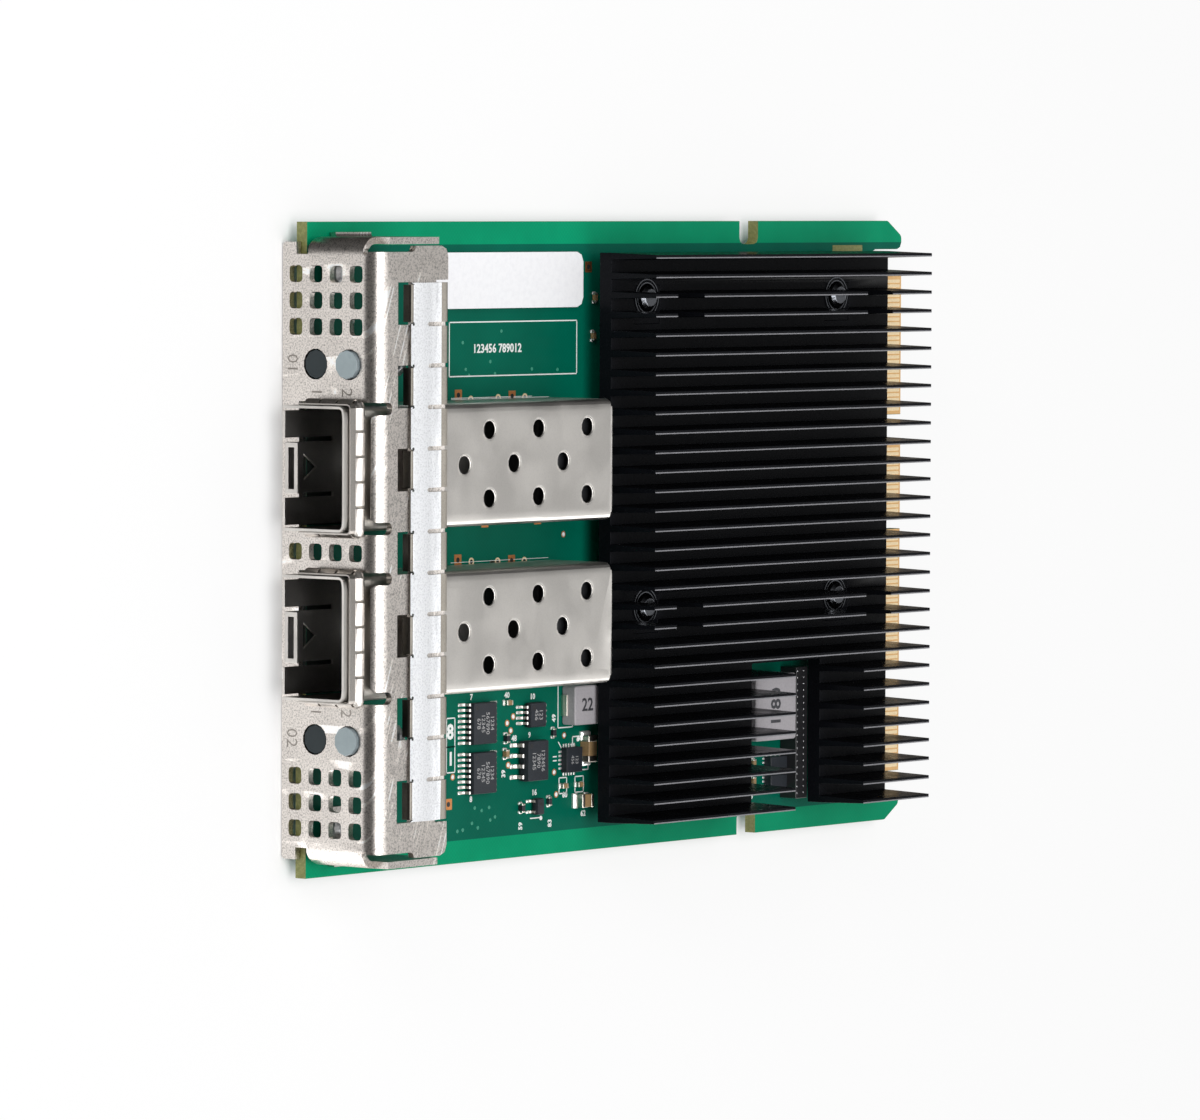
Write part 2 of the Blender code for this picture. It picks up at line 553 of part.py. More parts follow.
def make_spring_strip():
    """The finger strip that wraps the panel's rear edge and hooks into its windows."""
    half = FINGERS * FINGER_PITCH / 2
    hook_half = WINDOW_WIDTH / 2 - SEAT_GAP
    arch_radius, arch_angle = 5 * MM, radians(12)
    wrap_angle, tail = radians(150), 0.4 * MM
    end = STRIP_BEND_Y + arch_radius * arch_angle + STRIP_SLOPE + STRIP_WRAP * wrap_angle + tail
    hook_line = STRIP_FRONT_Y + STRIP_SHEET + 0.2 * MM
    hook_end = hook_line - 0.2 * MM * pi / 2 - STRIP_HOOK
    front = []
    outer = min(hook_half + 0.3 * MM, FINGER_PITCH / 2)
    for x in reversed(window_middles()):
        front += [(x + outer, STRIP_FRONT_Y), (x + hook_half, hook_line + 0.2 * MM), (x + hook_half, hook_end),
                  (x - hook_half, hook_end), (x - hook_half, hook_line + 0.2 * MM), (x - outer, STRIP_FRONT_Y)]
    if half > front[0][0] + 0.01 * MM:
        front = [(half, STRIP_FRONT_Y), *front, (-half, STRIP_FRONT_Y)]
    rear = [(-half, end)]
    for finger in range(1, FINGERS):
        x = -half + finger * FINGER_PITCH
        w = SLIT_WIDTH / 2
        rear += [(x - w, end), (x - w, SLIT_START_Y + w), (x, SLIT_START_Y), (x + w, SLIT_START_Y + w), (x + w, end)]
    rear.append((half, end))
    bm = sheet(front + rear, [], 0, STRIP_SHEET)
    fold(bm, (0, end - tail - STRIP_WRAP * wrap_angle, 0), (0, 1, 0), (0, 0, -1), STRIP_WRAP, wrap_angle, 5)
    fold(bm, (0, STRIP_BEND_Y, 0), (0, 1, 0), (0, 0, -1), arch_radius, arch_angle, 2)
    fold(bm, (0, hook_line, 0), (0, -1, 0), (0, 0, -1), 0.2 * MM, pi / 2, 2,
         lambda p: p.y < hook_line + 0.01 * MM
         and any(abs(p.x - x) < hook_half + 0.01 * MM for x in window_middles()))
    add_piece("emi_finger_strip", bm, "bright_tin", (0, 0, PANEL_TOP_Z + CLIP_GAP), 0, radians(30))


def cage_outline():
    """Flat cage: top, two side flaps with board pins, and the rear flap."""
    line = CAGE_WIDTH / 2 - CAGE_SHEET - CAGE_BEND
    bend = CAGE_BEND * pi / 2
    side_end = line + bend + CAGE_TOP_Z - CAGE_SHEET - CAGE_BEND - SEAT_GAP
    pin_end = side_end + SEAT_GAP + BOARD_THICKNESS - 0.1 * MM
    rear_line = CAGE_REAR_Y - CAGE_SHEET - CAGE_BEND
    rear_end = rear_line + bend + CAGE_TOP_Z - CAGE_SHEET - CAGE_BEND - 2 * SEAT_GAP
    relief = line - 0.3 * MM
    half = [(side_end, CAGE_FRONT_Y)]
    for y in CAGE_PIN_Y:
        front, rear = y - CAGE_PIN_WIDTH / 2, y + CAGE_PIN_WIDTH / 2
        half += [(side_end, front), (pin_end, front), (pin_end, rear), (side_end, rear)]
    half += [(side_end, rear_line), (relief, rear_line), (relief, rear_end)]
    return mirrored(half), line, rear_line


def make_cage(number, centre):
    """The cage's top, sides and rear wall, folded from one vented sheet."""
    outline, line, rear_line = cage_outline()
    rows = int((CAGE_REAR_Y - CAGE_VENT_REAR - CAGE_VENT_FIRST_Y) / CAGE_VENT_STEP) + 1
    holes = [circle(side * CAGE_VENT_X, CAGE_VENT_FIRST_Y + row * CAGE_VENT_STEP, CAGE_VENT, 12)
             for row in range(rows) for side in ((-1, 1) if row % 2 else (0,))]
    bm = sheet(outline, holes, 0, CAGE_SHEET)
    fold(bm, (0, rear_line, 0), (0, 1, 0), (0, 0, -1), CAGE_BEND, pi / 2, 3)
    for side in (-1, 1):
        fold(bm, (side * line, 0, 0), (side, 0, 0), (0, 0, -1), CAGE_BEND, pi / 2, 3,
             lambda p: p.y < rear_line + 0.01 * MM)
    add_piece(f"sfp_cage_{number}", bm, "cage_steel", (centre, 0, CAGE_TOP_Z - CAGE_SHEET), 0, radians(35))


def make_cage_base(number, centre):
    """The cage's floor with its latch tab, latch hole and upturned lip."""
    half = CAGE_WIDTH / 2 - CAGE_SHEET - SEAT_GAP
    tab = LATCH_WIDTH / 2
    slot = tab + 0.5 * MM
    lip_line = CAGE_FRONT_Y + CAGE_SHEET + CAGE_BEND
    lip_end = lip_line - CAGE_BEND * pi / 2 - LATCH_LIP + CAGE_SHEET
    outline = mirrored([(tab, lip_end), (tab, 4 * MM), (slot, 4 * MM), (slot, CAGE_FRONT_Y),
                        (half, CAGE_FRONT_Y), (half, CONNECTOR_FRONT_Y - 2 * MM)])
    window = rectangle(0, lip_end + 0.95 * MM, LATCH_WIDTH - 1.1 * MM, 0.9 * MM)
    latch = [(-1.55 * MM, -1.2 * MM), (1.55 * MM, -1.2 * MM), (0, 1.0 * MM)]
    bm = sheet(outline, [window, latch], 0, CAGE_SHEET)
    fold(bm, (0, lip_line, CAGE_SHEET), (0, -1, 0), (0, 0, 1), CAGE_BEND, pi / 2, 2,
         lambda p: abs(p.x) < tab + 0.01 * MM and p.y < lip_line + 0.01 * MM)
    add_piece(f"cage_base_{number}", bm, "cage_steel", (centre, 0, SEAT_GAP))


def make_collar(number, centre):
    """The spring collar that seals a cage against the faceplate, open below."""
    inner = CAGE_WIDTH / 2 + CLIP_GAP
    line = inner - CAGE_BEND
    reach = line + CAGE_BEND * pi / 2 + CAGE_TOP_Z - 2.2 * MM
    slit = 0.3 * MM
    start, end = CAGE_FRONT_Y + COLLAR_SETBACK, FACE_BACK_Y - SHEET - SEAT_GAP
    root = start + COLLAR_BAND
    slits = [(k - 1.5) * COLLAR_FINGER for k in range(4)]
    slits += [side * (line + CAGE_BEND * pi / 2 + d) for side in (-1, 1) for d in (0.1 * MM, 2.6 * MM, 5.2 * MM)]
    rear = []
    for x in sorted(slits, reverse=True):
        rear += [(x + slit / 2, end), (x + slit / 2, root), (x - slit / 2, root), (x - slit / 2, end)]
    outline = [(-reach, start), (reach, start), (reach, end)] + rear + [(-reach, end)]
    bm = sheet(outline, [], 0, STRIP_SHEET)
    middle, reach_y = (root + end) / 2, (end - root) / 2
    for y in (root, middle - reach_y / 2, middle, middle + reach_y / 2):
        bmesh.ops.bisect_plane(bm, geom=bm.verts[:] + bm.edges[:] + bm.faces[:],
                               plane_co=(0, y, 0), plane_no=(0, 1, 0), dist=1e-7)
    bmesh.ops.triangulate(bm, faces=bm.faces)
    for vert in bm.verts:
        if vert.co.y > root:
            vert.co.z += COLLAR_BULGE * (1 - ((vert.co.y - middle) / reach_y) ** 2)
    for side in (-1, 1):
        fold(bm, (side * line, 0, 0), (side, 0, 0), (0, 0, -1), CAGE_BEND, pi / 2, 2)
    add_piece(f"cage_spring_collar_{number}", bm, "cage_steel", (centre, 0, CAGE_TOP_Z + CLIP_GAP))


def make_connector(number, centre):
    """The moulded host connector at the back of a cage, with its card slot."""
    half = CONNECTOR_WIDTH / 2
    front, rear = CONNECTOR_FRONT_Y, CONNECTOR_REAR_Y
    base = SEAT_GAP
    step = front + 2.2 * MM
    profile = [(front, base), (rear, base), (rear, CONNECTOR_TOP_Z, 0.8 * MM),
               (step, CONNECTOR_TOP_Z, 0.6 * MM), (front, CONNECTOR_TOP_Z - 1.2 * MM)]
    bm = sheet(rounded(profile), [], -half, half)
    bmesh.ops.transform(bm, matrix=turn_section(), verts=bm.verts)
    bmesh.ops.translate(bm, verts=bm.verts, vec=(centre, 0, 0))
    connector = add_piece(f"port_connector_{number}", bm, "black_plastic")
    slot = block((centre - half + 0.8 * MM, front - 1 * MM, 4.1 * MM),
                 (centre + half - 0.8 * MM, front + 4.5 * MM, 5.4 * MM))
    combine(connector, slot, "DIFFERENCE")


def turn_section():
    """Matrix that takes a section drawn in (Y, Z) and raised along its own Z to the card's X."""
    from mathutils import Matrix
    return Matrix(((0, 0, 1, 0), (1, 0, 0, 0), (0, 1, 0, 0), (0, 0, 0, 1)))


def make_light_pipes(number, side):
    """The two light pipes of a port, their holder and the lights behind them."""
    x = side * LIGHT_X
    radius = PIPE_DIAMETER / 2
    front = FACE_BACK_Y - SHEET - PIPE_PROUD
    elbow = radius + 0.6 * MM
    rear = LINK_PIPE_REAR_Y
    link_path = [(front, LINK_Z), (rear - elbow, LINK_Z)]
    link_path += [(rear - elbow + elbow * sin(a), LINK_Z - elbow + elbow * cos(a))
                  for a in (radians(30), radians(60), radians(90))]
    link_path.append((rear, 1.4 * MM))
    add_rod(f"light_pipe_link_{number}", [(x, y, z) for y, z in link_path], radius)
    add_rod(f"light_pipe_activity_{number}",
            [(x, front + PIPE_PROUD + 0.1 * MM, ACTIVITY_Z), (x, ACTIVITY_PIPE_REAR_Y, ACTIVITY_Z)], radius)
    light_rear = ACTIVITY_PIPE_REAR_Y + SEAT_GAP
    add_piece(f"status_light_activity_{number}",
              block((x - 1.5 * MM, light_rear, SOLDER_GAP), (x + 1.5 * MM, light_rear + 1.2 * MM, 3.4 * MM)),
              "label_white")
    add_piece(f"status_light_link_{number}",
              block((x - 1.5 * MM, rear - 0.8 * MM, SOLDER_GAP), (x + 1.5 * MM, rear + 0.8 * MM, 1.1 * MM)),
              "label_white")
    bore = radius + CLIP_GAP
    side_x, top = bore + 0.6 * MM, LINK_Z + bore + 0.6 * MM
    arch = ACTIVITY_Z + bore
    outline = [(x - side_x, SEAT_GAP), (x - bore, SEAT_GAP), (x - bore, arch, 0.98 * bore),
               (x + bore, arch, 0.98 * bore), (x + bore, SEAT_GAP), (x + side_x, SEAT_GAP),
               (x + side_x, top, 0.6 * MM), (x - side_x, top, 0.6 * MM)]
    bm = sheet(rounded(outline, 6), [circle(x, LINK_Z, 2 * bore, 16)], 0, 1.2 * MM)
    add_piece(f"light_pipe_holder_{number}", bm, "black_plastic", (0, FACE_BACK_Y + 1.5 * MM, 0), pi / 2)


def add_rod(name, path, radius):
    """A round rod along a path, as a bevelled curve with filled ends."""
    curve = bpy.data.curves.new(name, "CURVE")
    curve.dimensions = "3D"
    curve.bevel_depth = radius
    curve.bevel_resolution = 3
    curve.use_fill_caps = True
    spline = curve.splines.new("POLY")
    spline.points.add(len(path) - 1)
    for point, place in zip(spline.points, path):
        point.co = (*place, 1)
    material = bpy.data.materials.get("light_pipe") or make_material("light_pipe")
    curve.materials.append(material)
    rod = bpy.data.objects.new(name, curve)
    rod.parent = bpy.data.objects["card_datum"]
    bpy.context.collection.objects.link(rod)


def fin_middle(index):
    """X of the middle of a fin."""
    return -BOARD_WIDTH / 2 + SINK_INSET + FIN_ROOT / 2 + index * FIN_PITCH


def make_heat_sink():
    """The extruded sink, milled for its screws and for the tall inductor beside it."""
    base_top = SINK_BASE_Z + SINK_BASE
    left, right = fin_middle(0) - FIN_ROOT / 2, fin_middle(FIN_COUNT - 1) + FIN_ROOT / 2
    section = [(left, SINK_BASE_Z), (right, SINK_BASE_Z)]
    for index in reversed(range(FIN_COUNT)):
        middle = fin_middle(index)
        section += [(middle + FIN_ROOT / 2, base_top), (middle + FIN_TIP / 2, SINK_TOP_Z),
                    (middle - FIN_TIP / 2, SINK_TOP_Z), (middle - FIN_ROOT / 2, base_top)]
    bm = sheet(section, [], 0, SINK_REAR_Y - SINK_FRONT_Y)
    sink = add_piece("heat_sink", bm, "black_anodised", (0, SINK_REAR_Y, 0), pi / 2)
    first_cut_fin = int((NOTCH_X - fin_middle(0)) / FIN_PITCH) + 1
    notch_left = fin_middle(first_cut_fin) - FIN_PITCH / 2
    cuts = block((notch_left, NOTCH_REAR_Y - NOTCH_LENGTH, 0), (right + 2 * MM, NOTCH_REAR_Y, 2 * SINK_TOP_Z))
    for x, y in sink_screws():
        middle = x - SCREW_SIDE + FIN_PITCH / 2
        block((middle - FIN_PITCH, y - ACCESS_LENGTH / 2, base_top - ACCESS_DEPTH),
              (middle + FIN_PITCH, y + ACCESS_LENGTH / 2, 2 * SINK_TOP_Z), cuts)
    combine(sink, cuts, "DIFFERENCE")
    bores = bmesh.new()
    seat = base_top - SCREW_SEAT
    hole = SCREW_SHANK / 2 + SEAT_GAP
    bore = SCREW_HEAD / 2 + SEAT_GAP
    for x, y in sink_screws():
        turned([(0, 0), (hole, 0), (hole, seat), (bore, seat), (bore, base_top + 0.3 * MM),
                (0, base_top + 0.3 * MM)], 16, x, y, bores)
    combine(sink, bores, "DIFFERENCE")


def screw_profile(end, seat, head, height):
    """Radius and height points of a pan-head screw, from its end to its crown."""
    shank = SCREW_SHANK / 2
    return [(0, end), (shank, end), (shank, seat), (head / 2, seat), (head / 2, seat + 0.6 * height),
            (0.7 * head / 2, seat + height), (0, seat + height)]


def make_sink_fixings():
    """Four screws through the sink and the soldered spacers that take them."""
    seat = SINK_BASE_Z + SINK_BASE - SCREW_SEAT + SEAT_GAP
    end = -BOARD_THICKNESS + 0.2 * MM
    inner = SCREW_SHANK / 2 + SEAT_GAP
    outer = STANDOFF_DIAMETER / 2
    for number, (x, y) in enumerate(sink_screws(), start=1):
        screw = turned(screw_profile(end, seat, SCREW_HEAD, SCREW_HEAD_HEIGHT), 12, x, y)
        add_piece(f"heat_sink_screw_{number}", screw, "screw_steel", smooth=radians(40))
        spacer = turned([(inner, SEAT_GAP), (outer, SEAT_GAP), (outer, SINK_BASE_Z - SEAT_GAP),
                         (inner, SINK_BASE_Z - SEAT_GAP)], 12, x, y)
        add_piece(f"heat_sink_spacer_{number}", spacer, "bright_tin", smooth=radians(40))


def make_controller():
    """The controller chip and its thermal pad, between the four sink screws."""
    x, y = (sum(values) / 4 for values in zip(*sink_screws()))
    half = CONTROLLER_SIZE / 2
    top = SEAT_GAP + CONTROLLER_HEIGHT
    add_piece("controller_chip", block((x - half, y - half, SEAT_GAP), (x + half, y + half, top)),
              "black_plastic")
    pad = half - 3 * MM
    add_piece("thermal_pad", block((x - pad, y - pad, top + SEAT_GAP), (x + pad, y + pad, SINK_BASE_Z - SEAT_GAP)),
              "thermal_pad")


def make_bracket_screws():
    """The two screws that hold the bracket's feet to the board."""
    seat = 2 * SEAT_GAP + SHEET
    end = -BOARD_THICKNESS + 0.2 * MM
    for number, side in ((1, -1), (2, 1)):
        profile = screw_profile(end, seat, BRACKET_SCREW_HEAD, 1.1 * MM)
        screw = turned(profile, 12, side * BRACKET_SCREW[0], BRACKET_SCREW[1])
        add_piece(f"bracket_screw_{number}", screw, "bright_tin", smooth=radians(40))


def make_insulator():
    """The insulating film under the board, with holes at the sink's screws."""
    side, front, rear = FILM_INSET
    outline = rounded_box_outline(0, (front + BOARD_LENGTH - rear) / 2, BOARD_WIDTH - 2 * side,
                                  BOARD_LENGTH - front - rear, 2 * MM)
    holes = [circle(x, y, STANDOFF_DIAMETER, 12) for x, y in sink_screws()]
    top = -BOARD_THICKNESS - SEAT_GAP
    add_piece("insulator_film", sheet(outline, holes, top - FILM_THICKNESS, top), "black_plastic")


def make_label():
    """The blank white label beside the first cage."""
    width, length = LABEL_SIZE
    middle = (LABEL_INSET - BOARD_WIDTH / 2 + width / 2, SINK_FRONT_Y - SEAT_GAP - length / 2)
    outline = rounded_box_outline(*middle, width, length, 1.2 * MM)
    add_piece("board_label", sheet(outline, [], SEAT_GAP, SEAT_GAP + 0.12 * MM), "label_white")


def make_gull_wing_chip(name, middle, body, height, span, pins, pitch):
    """A moulded chip with bent leads along its two long sides.

    middle is (x, y); body is (length along X, width along Y); span is the
    distance over the leads; pins counts both sides.
    """
    x, y = middle
    length, width = body
    low, top = SOLDER_GAP + 0.1 * MM, SOLDER_GAP + height
    mid = (low + top) / 2
    draft = 0.06 * MM
    bm = sections([
        (low, x - length / 2 + draft, x + length / 2 - draft, y - width / 2 + draft, y + width / 2 - draft),
        (mid, x - length / 2, x + length / 2, y - width / 2, y + width / 2),
        (top, x - length / 2 + draft, x + length / 2 - draft, y - width / 2 + draft, y + width / 2 - draft)])
    chip = add_piece(name, bm, "black_plastic")
    leads = bmesh.new()
    sheet_height, lead = 0.15 * MM, 0.4 * pitch
    foot = 0.35 * (span - width)
    for side in (-1, 1):
        edge = width / 2 - 0.2 * MM
        bend = span / 2 - foot
        count = pins // 2 if side < 0 else pins - pins // 2
        path = [(edge, mid), (bend - 0.05 * MM, mid), (bend + 0.1 * MM, SOLDER_GAP + sheet_height),
                (span / 2, SOLDER_GAP + sheet_height), (span / 2, SOLDER_GAP),
                (bend, SOLDER_GAP), (bend - 0.15 * MM, mid - sheet_height), (edge, mid - sheet_height)]
        for k in range(count):
            pin_x = x + (k - (count - 1) / 2) * pitch * (1 if count > 2 else pins / 2 - 0.5)
            rings = [[leads.verts.new((pin_x + s * lead / 2, y + side * d, z)) for d, z in path] for s in (-1, 1)]
            leads.faces.new(rings[0])
            leads.faces.new(rings[1])
            for i in range(len(path)):
                leads.faces.new((rings[0][i - 1], rings[0][i], rings[1][i], rings[1][i - 1]))
    combine(chip, leads, "UNION")


def make_block_part(name, middle, size, colour, rise=0.0):
    """A rectangular part with chamfered top edges, resting on its solder."""
    (x, y), (length, width, height) = middle, size
    low, top, chamfer = SOLDER_GAP, SOLDER_GAP + height, min(0.2 * MM, 0.15 * height)
    bm = sections([
        (low + rise, x - length / 2, x + length / 2, y - width / 2, y + width / 2),
        (top - chamfer, x - length / 2, x + length / 2, y - width / 2, y + width / 2),
        (top, x - length / 2 + chamfer, x + length / 2 - chamfer, y - width / 2 + chamfer, y + width / 2 - chamfer)])
    add_piece(name, bm, colour)


def make_capacitor(name, middle, length, width, height, along_x):
    """A chip capacitor: a ceramic body between two slightly larger end caps."""
    x, y = middle
    cap, step = 0.22 * length, 0.04 * MM
    stations = ((-length / 2, 0), (-length / 2 + cap, 0), (-length / 2 + cap, step),
                (length / 2 - cap, step), (length / 2 - cap, 0), (length / 2, 0))
    bm = sections([(d, -width / 2 + s, width / 2 - s, SOLDER_GAP + s, SOLDER_GAP + height - s)
                   for d, s in stations])
    for vert in bm.verts:
        along, across, z = vert.co.z, vert.co.x, vert.co.y
        vert.co = (x + along, y + across, z) if along_x else (x + across, y + along, z)
    add_piece(name, bm, "ceramic")


def make_small_parts():
    """The chips, inductors and capacitors that stand on the board.

    Most lie beside the second cage and in front of the heat sink, and are
    placed by their distances from both.  The last three lie in the sink's notch.
    """
    side, front = CAGE_X + CAGE_WIDTH / 2, SINK_FRONT_Y
    wide, narrow = 1.27 * MM, 0.65 * MM
    chips = (
        ("buffer_chip_1", 4.55 * MM, 19.55 * MM, (5.0 * MM, 4.4 * MM), 1.1 * MM, 6.4 * MM, 16, narrow),
        ("buffer_chip_2", 10.45 * MM, 19.55 * MM, (5.0 * MM, 4.4 * MM), 1.1 * MM, 6.4 * MM, 16, narrow),
        ("sensor_chip", 4.05 * MM, 9.45 * MM, (3.0 * MM, 3.0 * MM), 1.0 * MM, 4.9 * MM, 8, narrow),
        ("memory_chip", 9.5 * MM, 10.05 * MM, (4.9 * MM, 3.9 * MM), 1.5 * MM, 6.0 * MM, 8, wide),
        ("gate_chip", 15.1 * MM, 8.85 * MM, (2.0 * MM, 1.3 * MM), 0.95 * MM, 2.3 * MM, 5, narrow),
    )
    for name, across, ahead, *shape in chips:
        make_gull_wing_chip(name, (side + across, front - ahead), *shape)
    make_block_part("power_switch_chip", (side + 9.85 * MM, front - 2.25 * MM), (3.0 * MM, 3.0 * MM, 0.75 * MM),
                    "black_plastic")
    make_block_part("inductor_1", (side + 3.25 * MM, front - 1.25 * MM), (4.7 * MM, 5.0 * MM, 1.9 * MM),
                    "ferrite_grey")
    capacitors = (
        (14.9 * MM, 0.2 * MM, 2.2 * MM, 1.6 * MM, 1.25 * MM, False),
        (8.65 * MM, -0.65 * MM, 3.2 * MM, 1.6 * MM, 1.25 * MM, True),
        (12.95 * MM, 3.55 * MM, 1.1 * MM, 0.6 * MM, 0.5 * MM, False),
        (12.95 * MM, 0.55 * MM, 1.1 * MM, 0.6 * MM, 0.5 * MM, False),
        (8.5 * MM, 14.55 * MM, 1.1 * MM, 0.6 * MM, 0.5 * MM, True),
        (6.65 * MM, 14.4 * MM, 1.1 * MM, 0.6 * MM, 0.5 * MM, True),
        (2.4 * MM, 14.15 * MM, 1.1 * MM, 0.6 * MM, 0.5 * MM, False),
        (15.15 * MM, 11.55 * MM, 1.1 * MM, 0.6 * MM, 0.5 * MM, True),
    )
    for number, (across, ahead, *shape) in enumerate(capacitors, start=1):
        make_capacitor(f"capacitor_{number}", (side + across, front - ahead), *shape)
    edge, notch = BOARD_WIDTH / 2, NOTCH_REAR_Y
    front_margin, rear_margin = NOTCH_MARGINS
    length = NOTCH_LENGTH - front_margin - rear_margin
    make_block_part("inductor_2", (edge - 15.9 * MM, notch - rear_margin - length / 2),
                    (8.2 * MM, length, 3.8 * MM), "ferrite_grey")
    make_block_part("regulator_chip_1", (edge - 8.65 * MM, notch - 3.2 * MM), (1.5 * MM, 4.6 * MM, 0.95 * MM),
                    "black_plastic")
    make_block_part("regulator_chip_2", (edge - 6.3 * MM, notch - 3.2 * MM), (1.6 * MM, 4.6 * MM, 0.95 * MM),
                    "black_plastic")


def main():
    """Build the whole card."""
    clear_scene()
    make_datum()
    make_board()
    make_bracket()
    make_bracket_screws()
    make_spring_strip()
    for number, side in ((1, -1), (2, 1)):
        make_cage(number, side * CAGE_X)
        make_cage_base(number, side * CAGE_X)
        make_collar(number, side * CAGE_X)
        make_connector(number, side * CAGE_X)
        make_light_pipes(number, side)
    make_heat_sink()
    make_sink_fixings()
    make_controller()
    make_insulator()
    make_label()
    make_small_parts()


main()
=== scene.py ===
"""Finishes, print and soldered detail for an ethernet adapter card.

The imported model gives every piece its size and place.  This script dresses it:
plated sheet metal, solder mask with copper and white print, gold contacts,
moulded chips with tinned leads, and the anodised heat sink.

Detail is laid out in card millimetres: X runs across the card, Y from the
board's front edge to its edge contacts, and Z up from the board's top.
"""

import json
import logging
import math
from collections.abc import Callable, Iterable
from dataclasses import dataclass, field
from enum import Enum

import bmesh
import bpy
import numpy as np
from mathutils import Matrix, Vector

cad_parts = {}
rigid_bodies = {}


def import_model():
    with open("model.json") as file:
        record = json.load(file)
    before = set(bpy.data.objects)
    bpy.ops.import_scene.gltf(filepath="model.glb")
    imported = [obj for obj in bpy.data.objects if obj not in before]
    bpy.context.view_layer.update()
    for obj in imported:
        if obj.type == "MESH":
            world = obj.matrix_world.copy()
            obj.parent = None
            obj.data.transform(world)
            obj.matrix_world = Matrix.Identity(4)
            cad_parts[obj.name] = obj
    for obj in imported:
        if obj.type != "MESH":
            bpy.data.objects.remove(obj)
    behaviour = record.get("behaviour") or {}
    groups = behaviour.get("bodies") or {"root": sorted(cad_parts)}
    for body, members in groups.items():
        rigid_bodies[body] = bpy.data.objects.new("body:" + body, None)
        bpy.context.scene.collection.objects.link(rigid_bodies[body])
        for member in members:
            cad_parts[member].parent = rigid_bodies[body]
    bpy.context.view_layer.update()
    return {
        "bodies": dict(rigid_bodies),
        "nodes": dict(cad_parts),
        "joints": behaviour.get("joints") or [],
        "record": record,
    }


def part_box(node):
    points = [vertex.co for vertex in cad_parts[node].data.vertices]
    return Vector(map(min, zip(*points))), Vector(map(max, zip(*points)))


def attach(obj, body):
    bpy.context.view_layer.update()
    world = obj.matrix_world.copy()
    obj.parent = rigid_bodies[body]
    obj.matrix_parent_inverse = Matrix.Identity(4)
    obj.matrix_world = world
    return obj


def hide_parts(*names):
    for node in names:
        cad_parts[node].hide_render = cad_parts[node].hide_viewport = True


LOG = logging.getLogger("adapter_card")
MM = 0.001
PHOTO_WIDTH = 1200
BODY = "root"
Colour = tuple[float, float, float]
Place = tuple[float, float]
Material = bpy.types.Material
Object = bpy.types.Object
Socket = bpy.types.NodeSocket
FINISH_OUTPUTS = ("Colour", "Roughness", "Height")
GREY = (0.5, 0.5, 0.5, 1)


class Slot(Enum):
    """The record's material slots."""

    MASK = "solder_mask"
    NICKEL = "nickel_steel"
    TIN = "bright_tin"
    CAGE = "cage_steel"
    ANODISED = "black_anodised"
    PLASTIC = "black_plastic"
    LENS = "light_pipe"
    FERRITE = "ferrite_grey"
    CERAMIC = "ceramic"
    WHITE = "label_white"
    SCREW = "screw_steel"
    PAD = "thermal_pad"


class Heading(Enum):
    """Which way print reads, as a turn about Z in degrees."""

    TO_REAR = 90.0
    TO_LEFT_EDGE = 180.0
    TO_RIGHT_EDGE = 0.0


# Shader groups


@dataclass
class Nodes:
    """A node tree, with short ways to add the nodes that finishes use.

    Each way takes sockets or plain values, and returns the new node's output socket.
    """

    tree: bpy.types.NodeTree

    def feed(self, socket: Socket, value: object) -> None:
        """Link an input to a socket, or give it a plain value."""
        if isinstance(value, Socket):
            self.tree.links.new(value, socket)
        else:
            socket.default_value = value

    def add(self, kind: str, settings: dict | None = None, output: int | str = 0, **inputs) -> Socket:
        """Add a node.

        Args:
            kind: the node type without its ShaderNode prefix.
            settings: node properties by name.
            output: which of its outputs to return.
            inputs: its inputs by name, or by number as i0 and i1.

        Returns:
            The output socket.
        """
        node = self.tree.nodes.new(f"ShaderNode{kind}")
        for key, value in (settings or {}).items():
            setattr(node, key, value)
        for key, value in inputs.items():
            self.feed(node.inputs[int(key[1:]) if key[1:].isdigit() else key.replace("_", " ")], value)
        return node.outputs[output]

    def maths(self, operation: str, *values: object) -> Socket:
        """Return a Math operation's result for one to three values."""
        inputs = {f"i{k}": value for k, value in enumerate(values)}
        return self.add("Math", {"operation": operation}, **inputs)

    def noise(self, point: Socket, scale: object, detail: float = 2.0, roughness: float = 0.5) -> Socket:
        """Return noise from 0 to 1 at a point."""
        return self.add("TexNoise", Vector=point, Scale=scale, Detail=detail, Roughness=roughness)

    def ranged(self, value: Socket, start: float, end: float, low: float = 0.0, high: float = 1.0,
               curve: str = "LINEAR") -> Socket:
        """Return low to high as the value goes from start to end, held at both ends."""
        return self.add("MapRange", {"interpolation_type": curve}, Value=value, From_Min=start, From_Max=end,
                        To_Min=low, To_Max=high)

    def scaled(self, vector: object, factor: Socket) -> Socket:
        """Return a vector or colour times a factor."""
        return self.add("VectorMath", {"operation": "SCALE"}, i0=vector, Scale=factor)

    def mixed(self, share: Socket, first: object, second: object) -> Socket:
        """Return the colour that share of the way from the first to the second."""
        return self.add("Mix", {"data_type": "RGBA"}, 2, i0=share, i6=first, i7=second)

    def bump(self, height: Socket, depth: float) -> Socket:
        """Return the normal of a surface of that height, times the depth in metres."""
        return self.add("Bump", Strength=1.0, Distance=depth, Height=height)

    def axis(self, vector: Socket, name: str) -> Socket:
        """Return one part of a vector."""
        return self.add("SeparateXYZ", output=name, Vector=vector)

    def give(self, **outputs: Socket) -> None:
        """Link the outputs of a group."""
        leave = self.tree.nodes.new("NodeGroupOutput")
        for name, socket in outputs.items():
            self.feed(leave.inputs[name], socket)


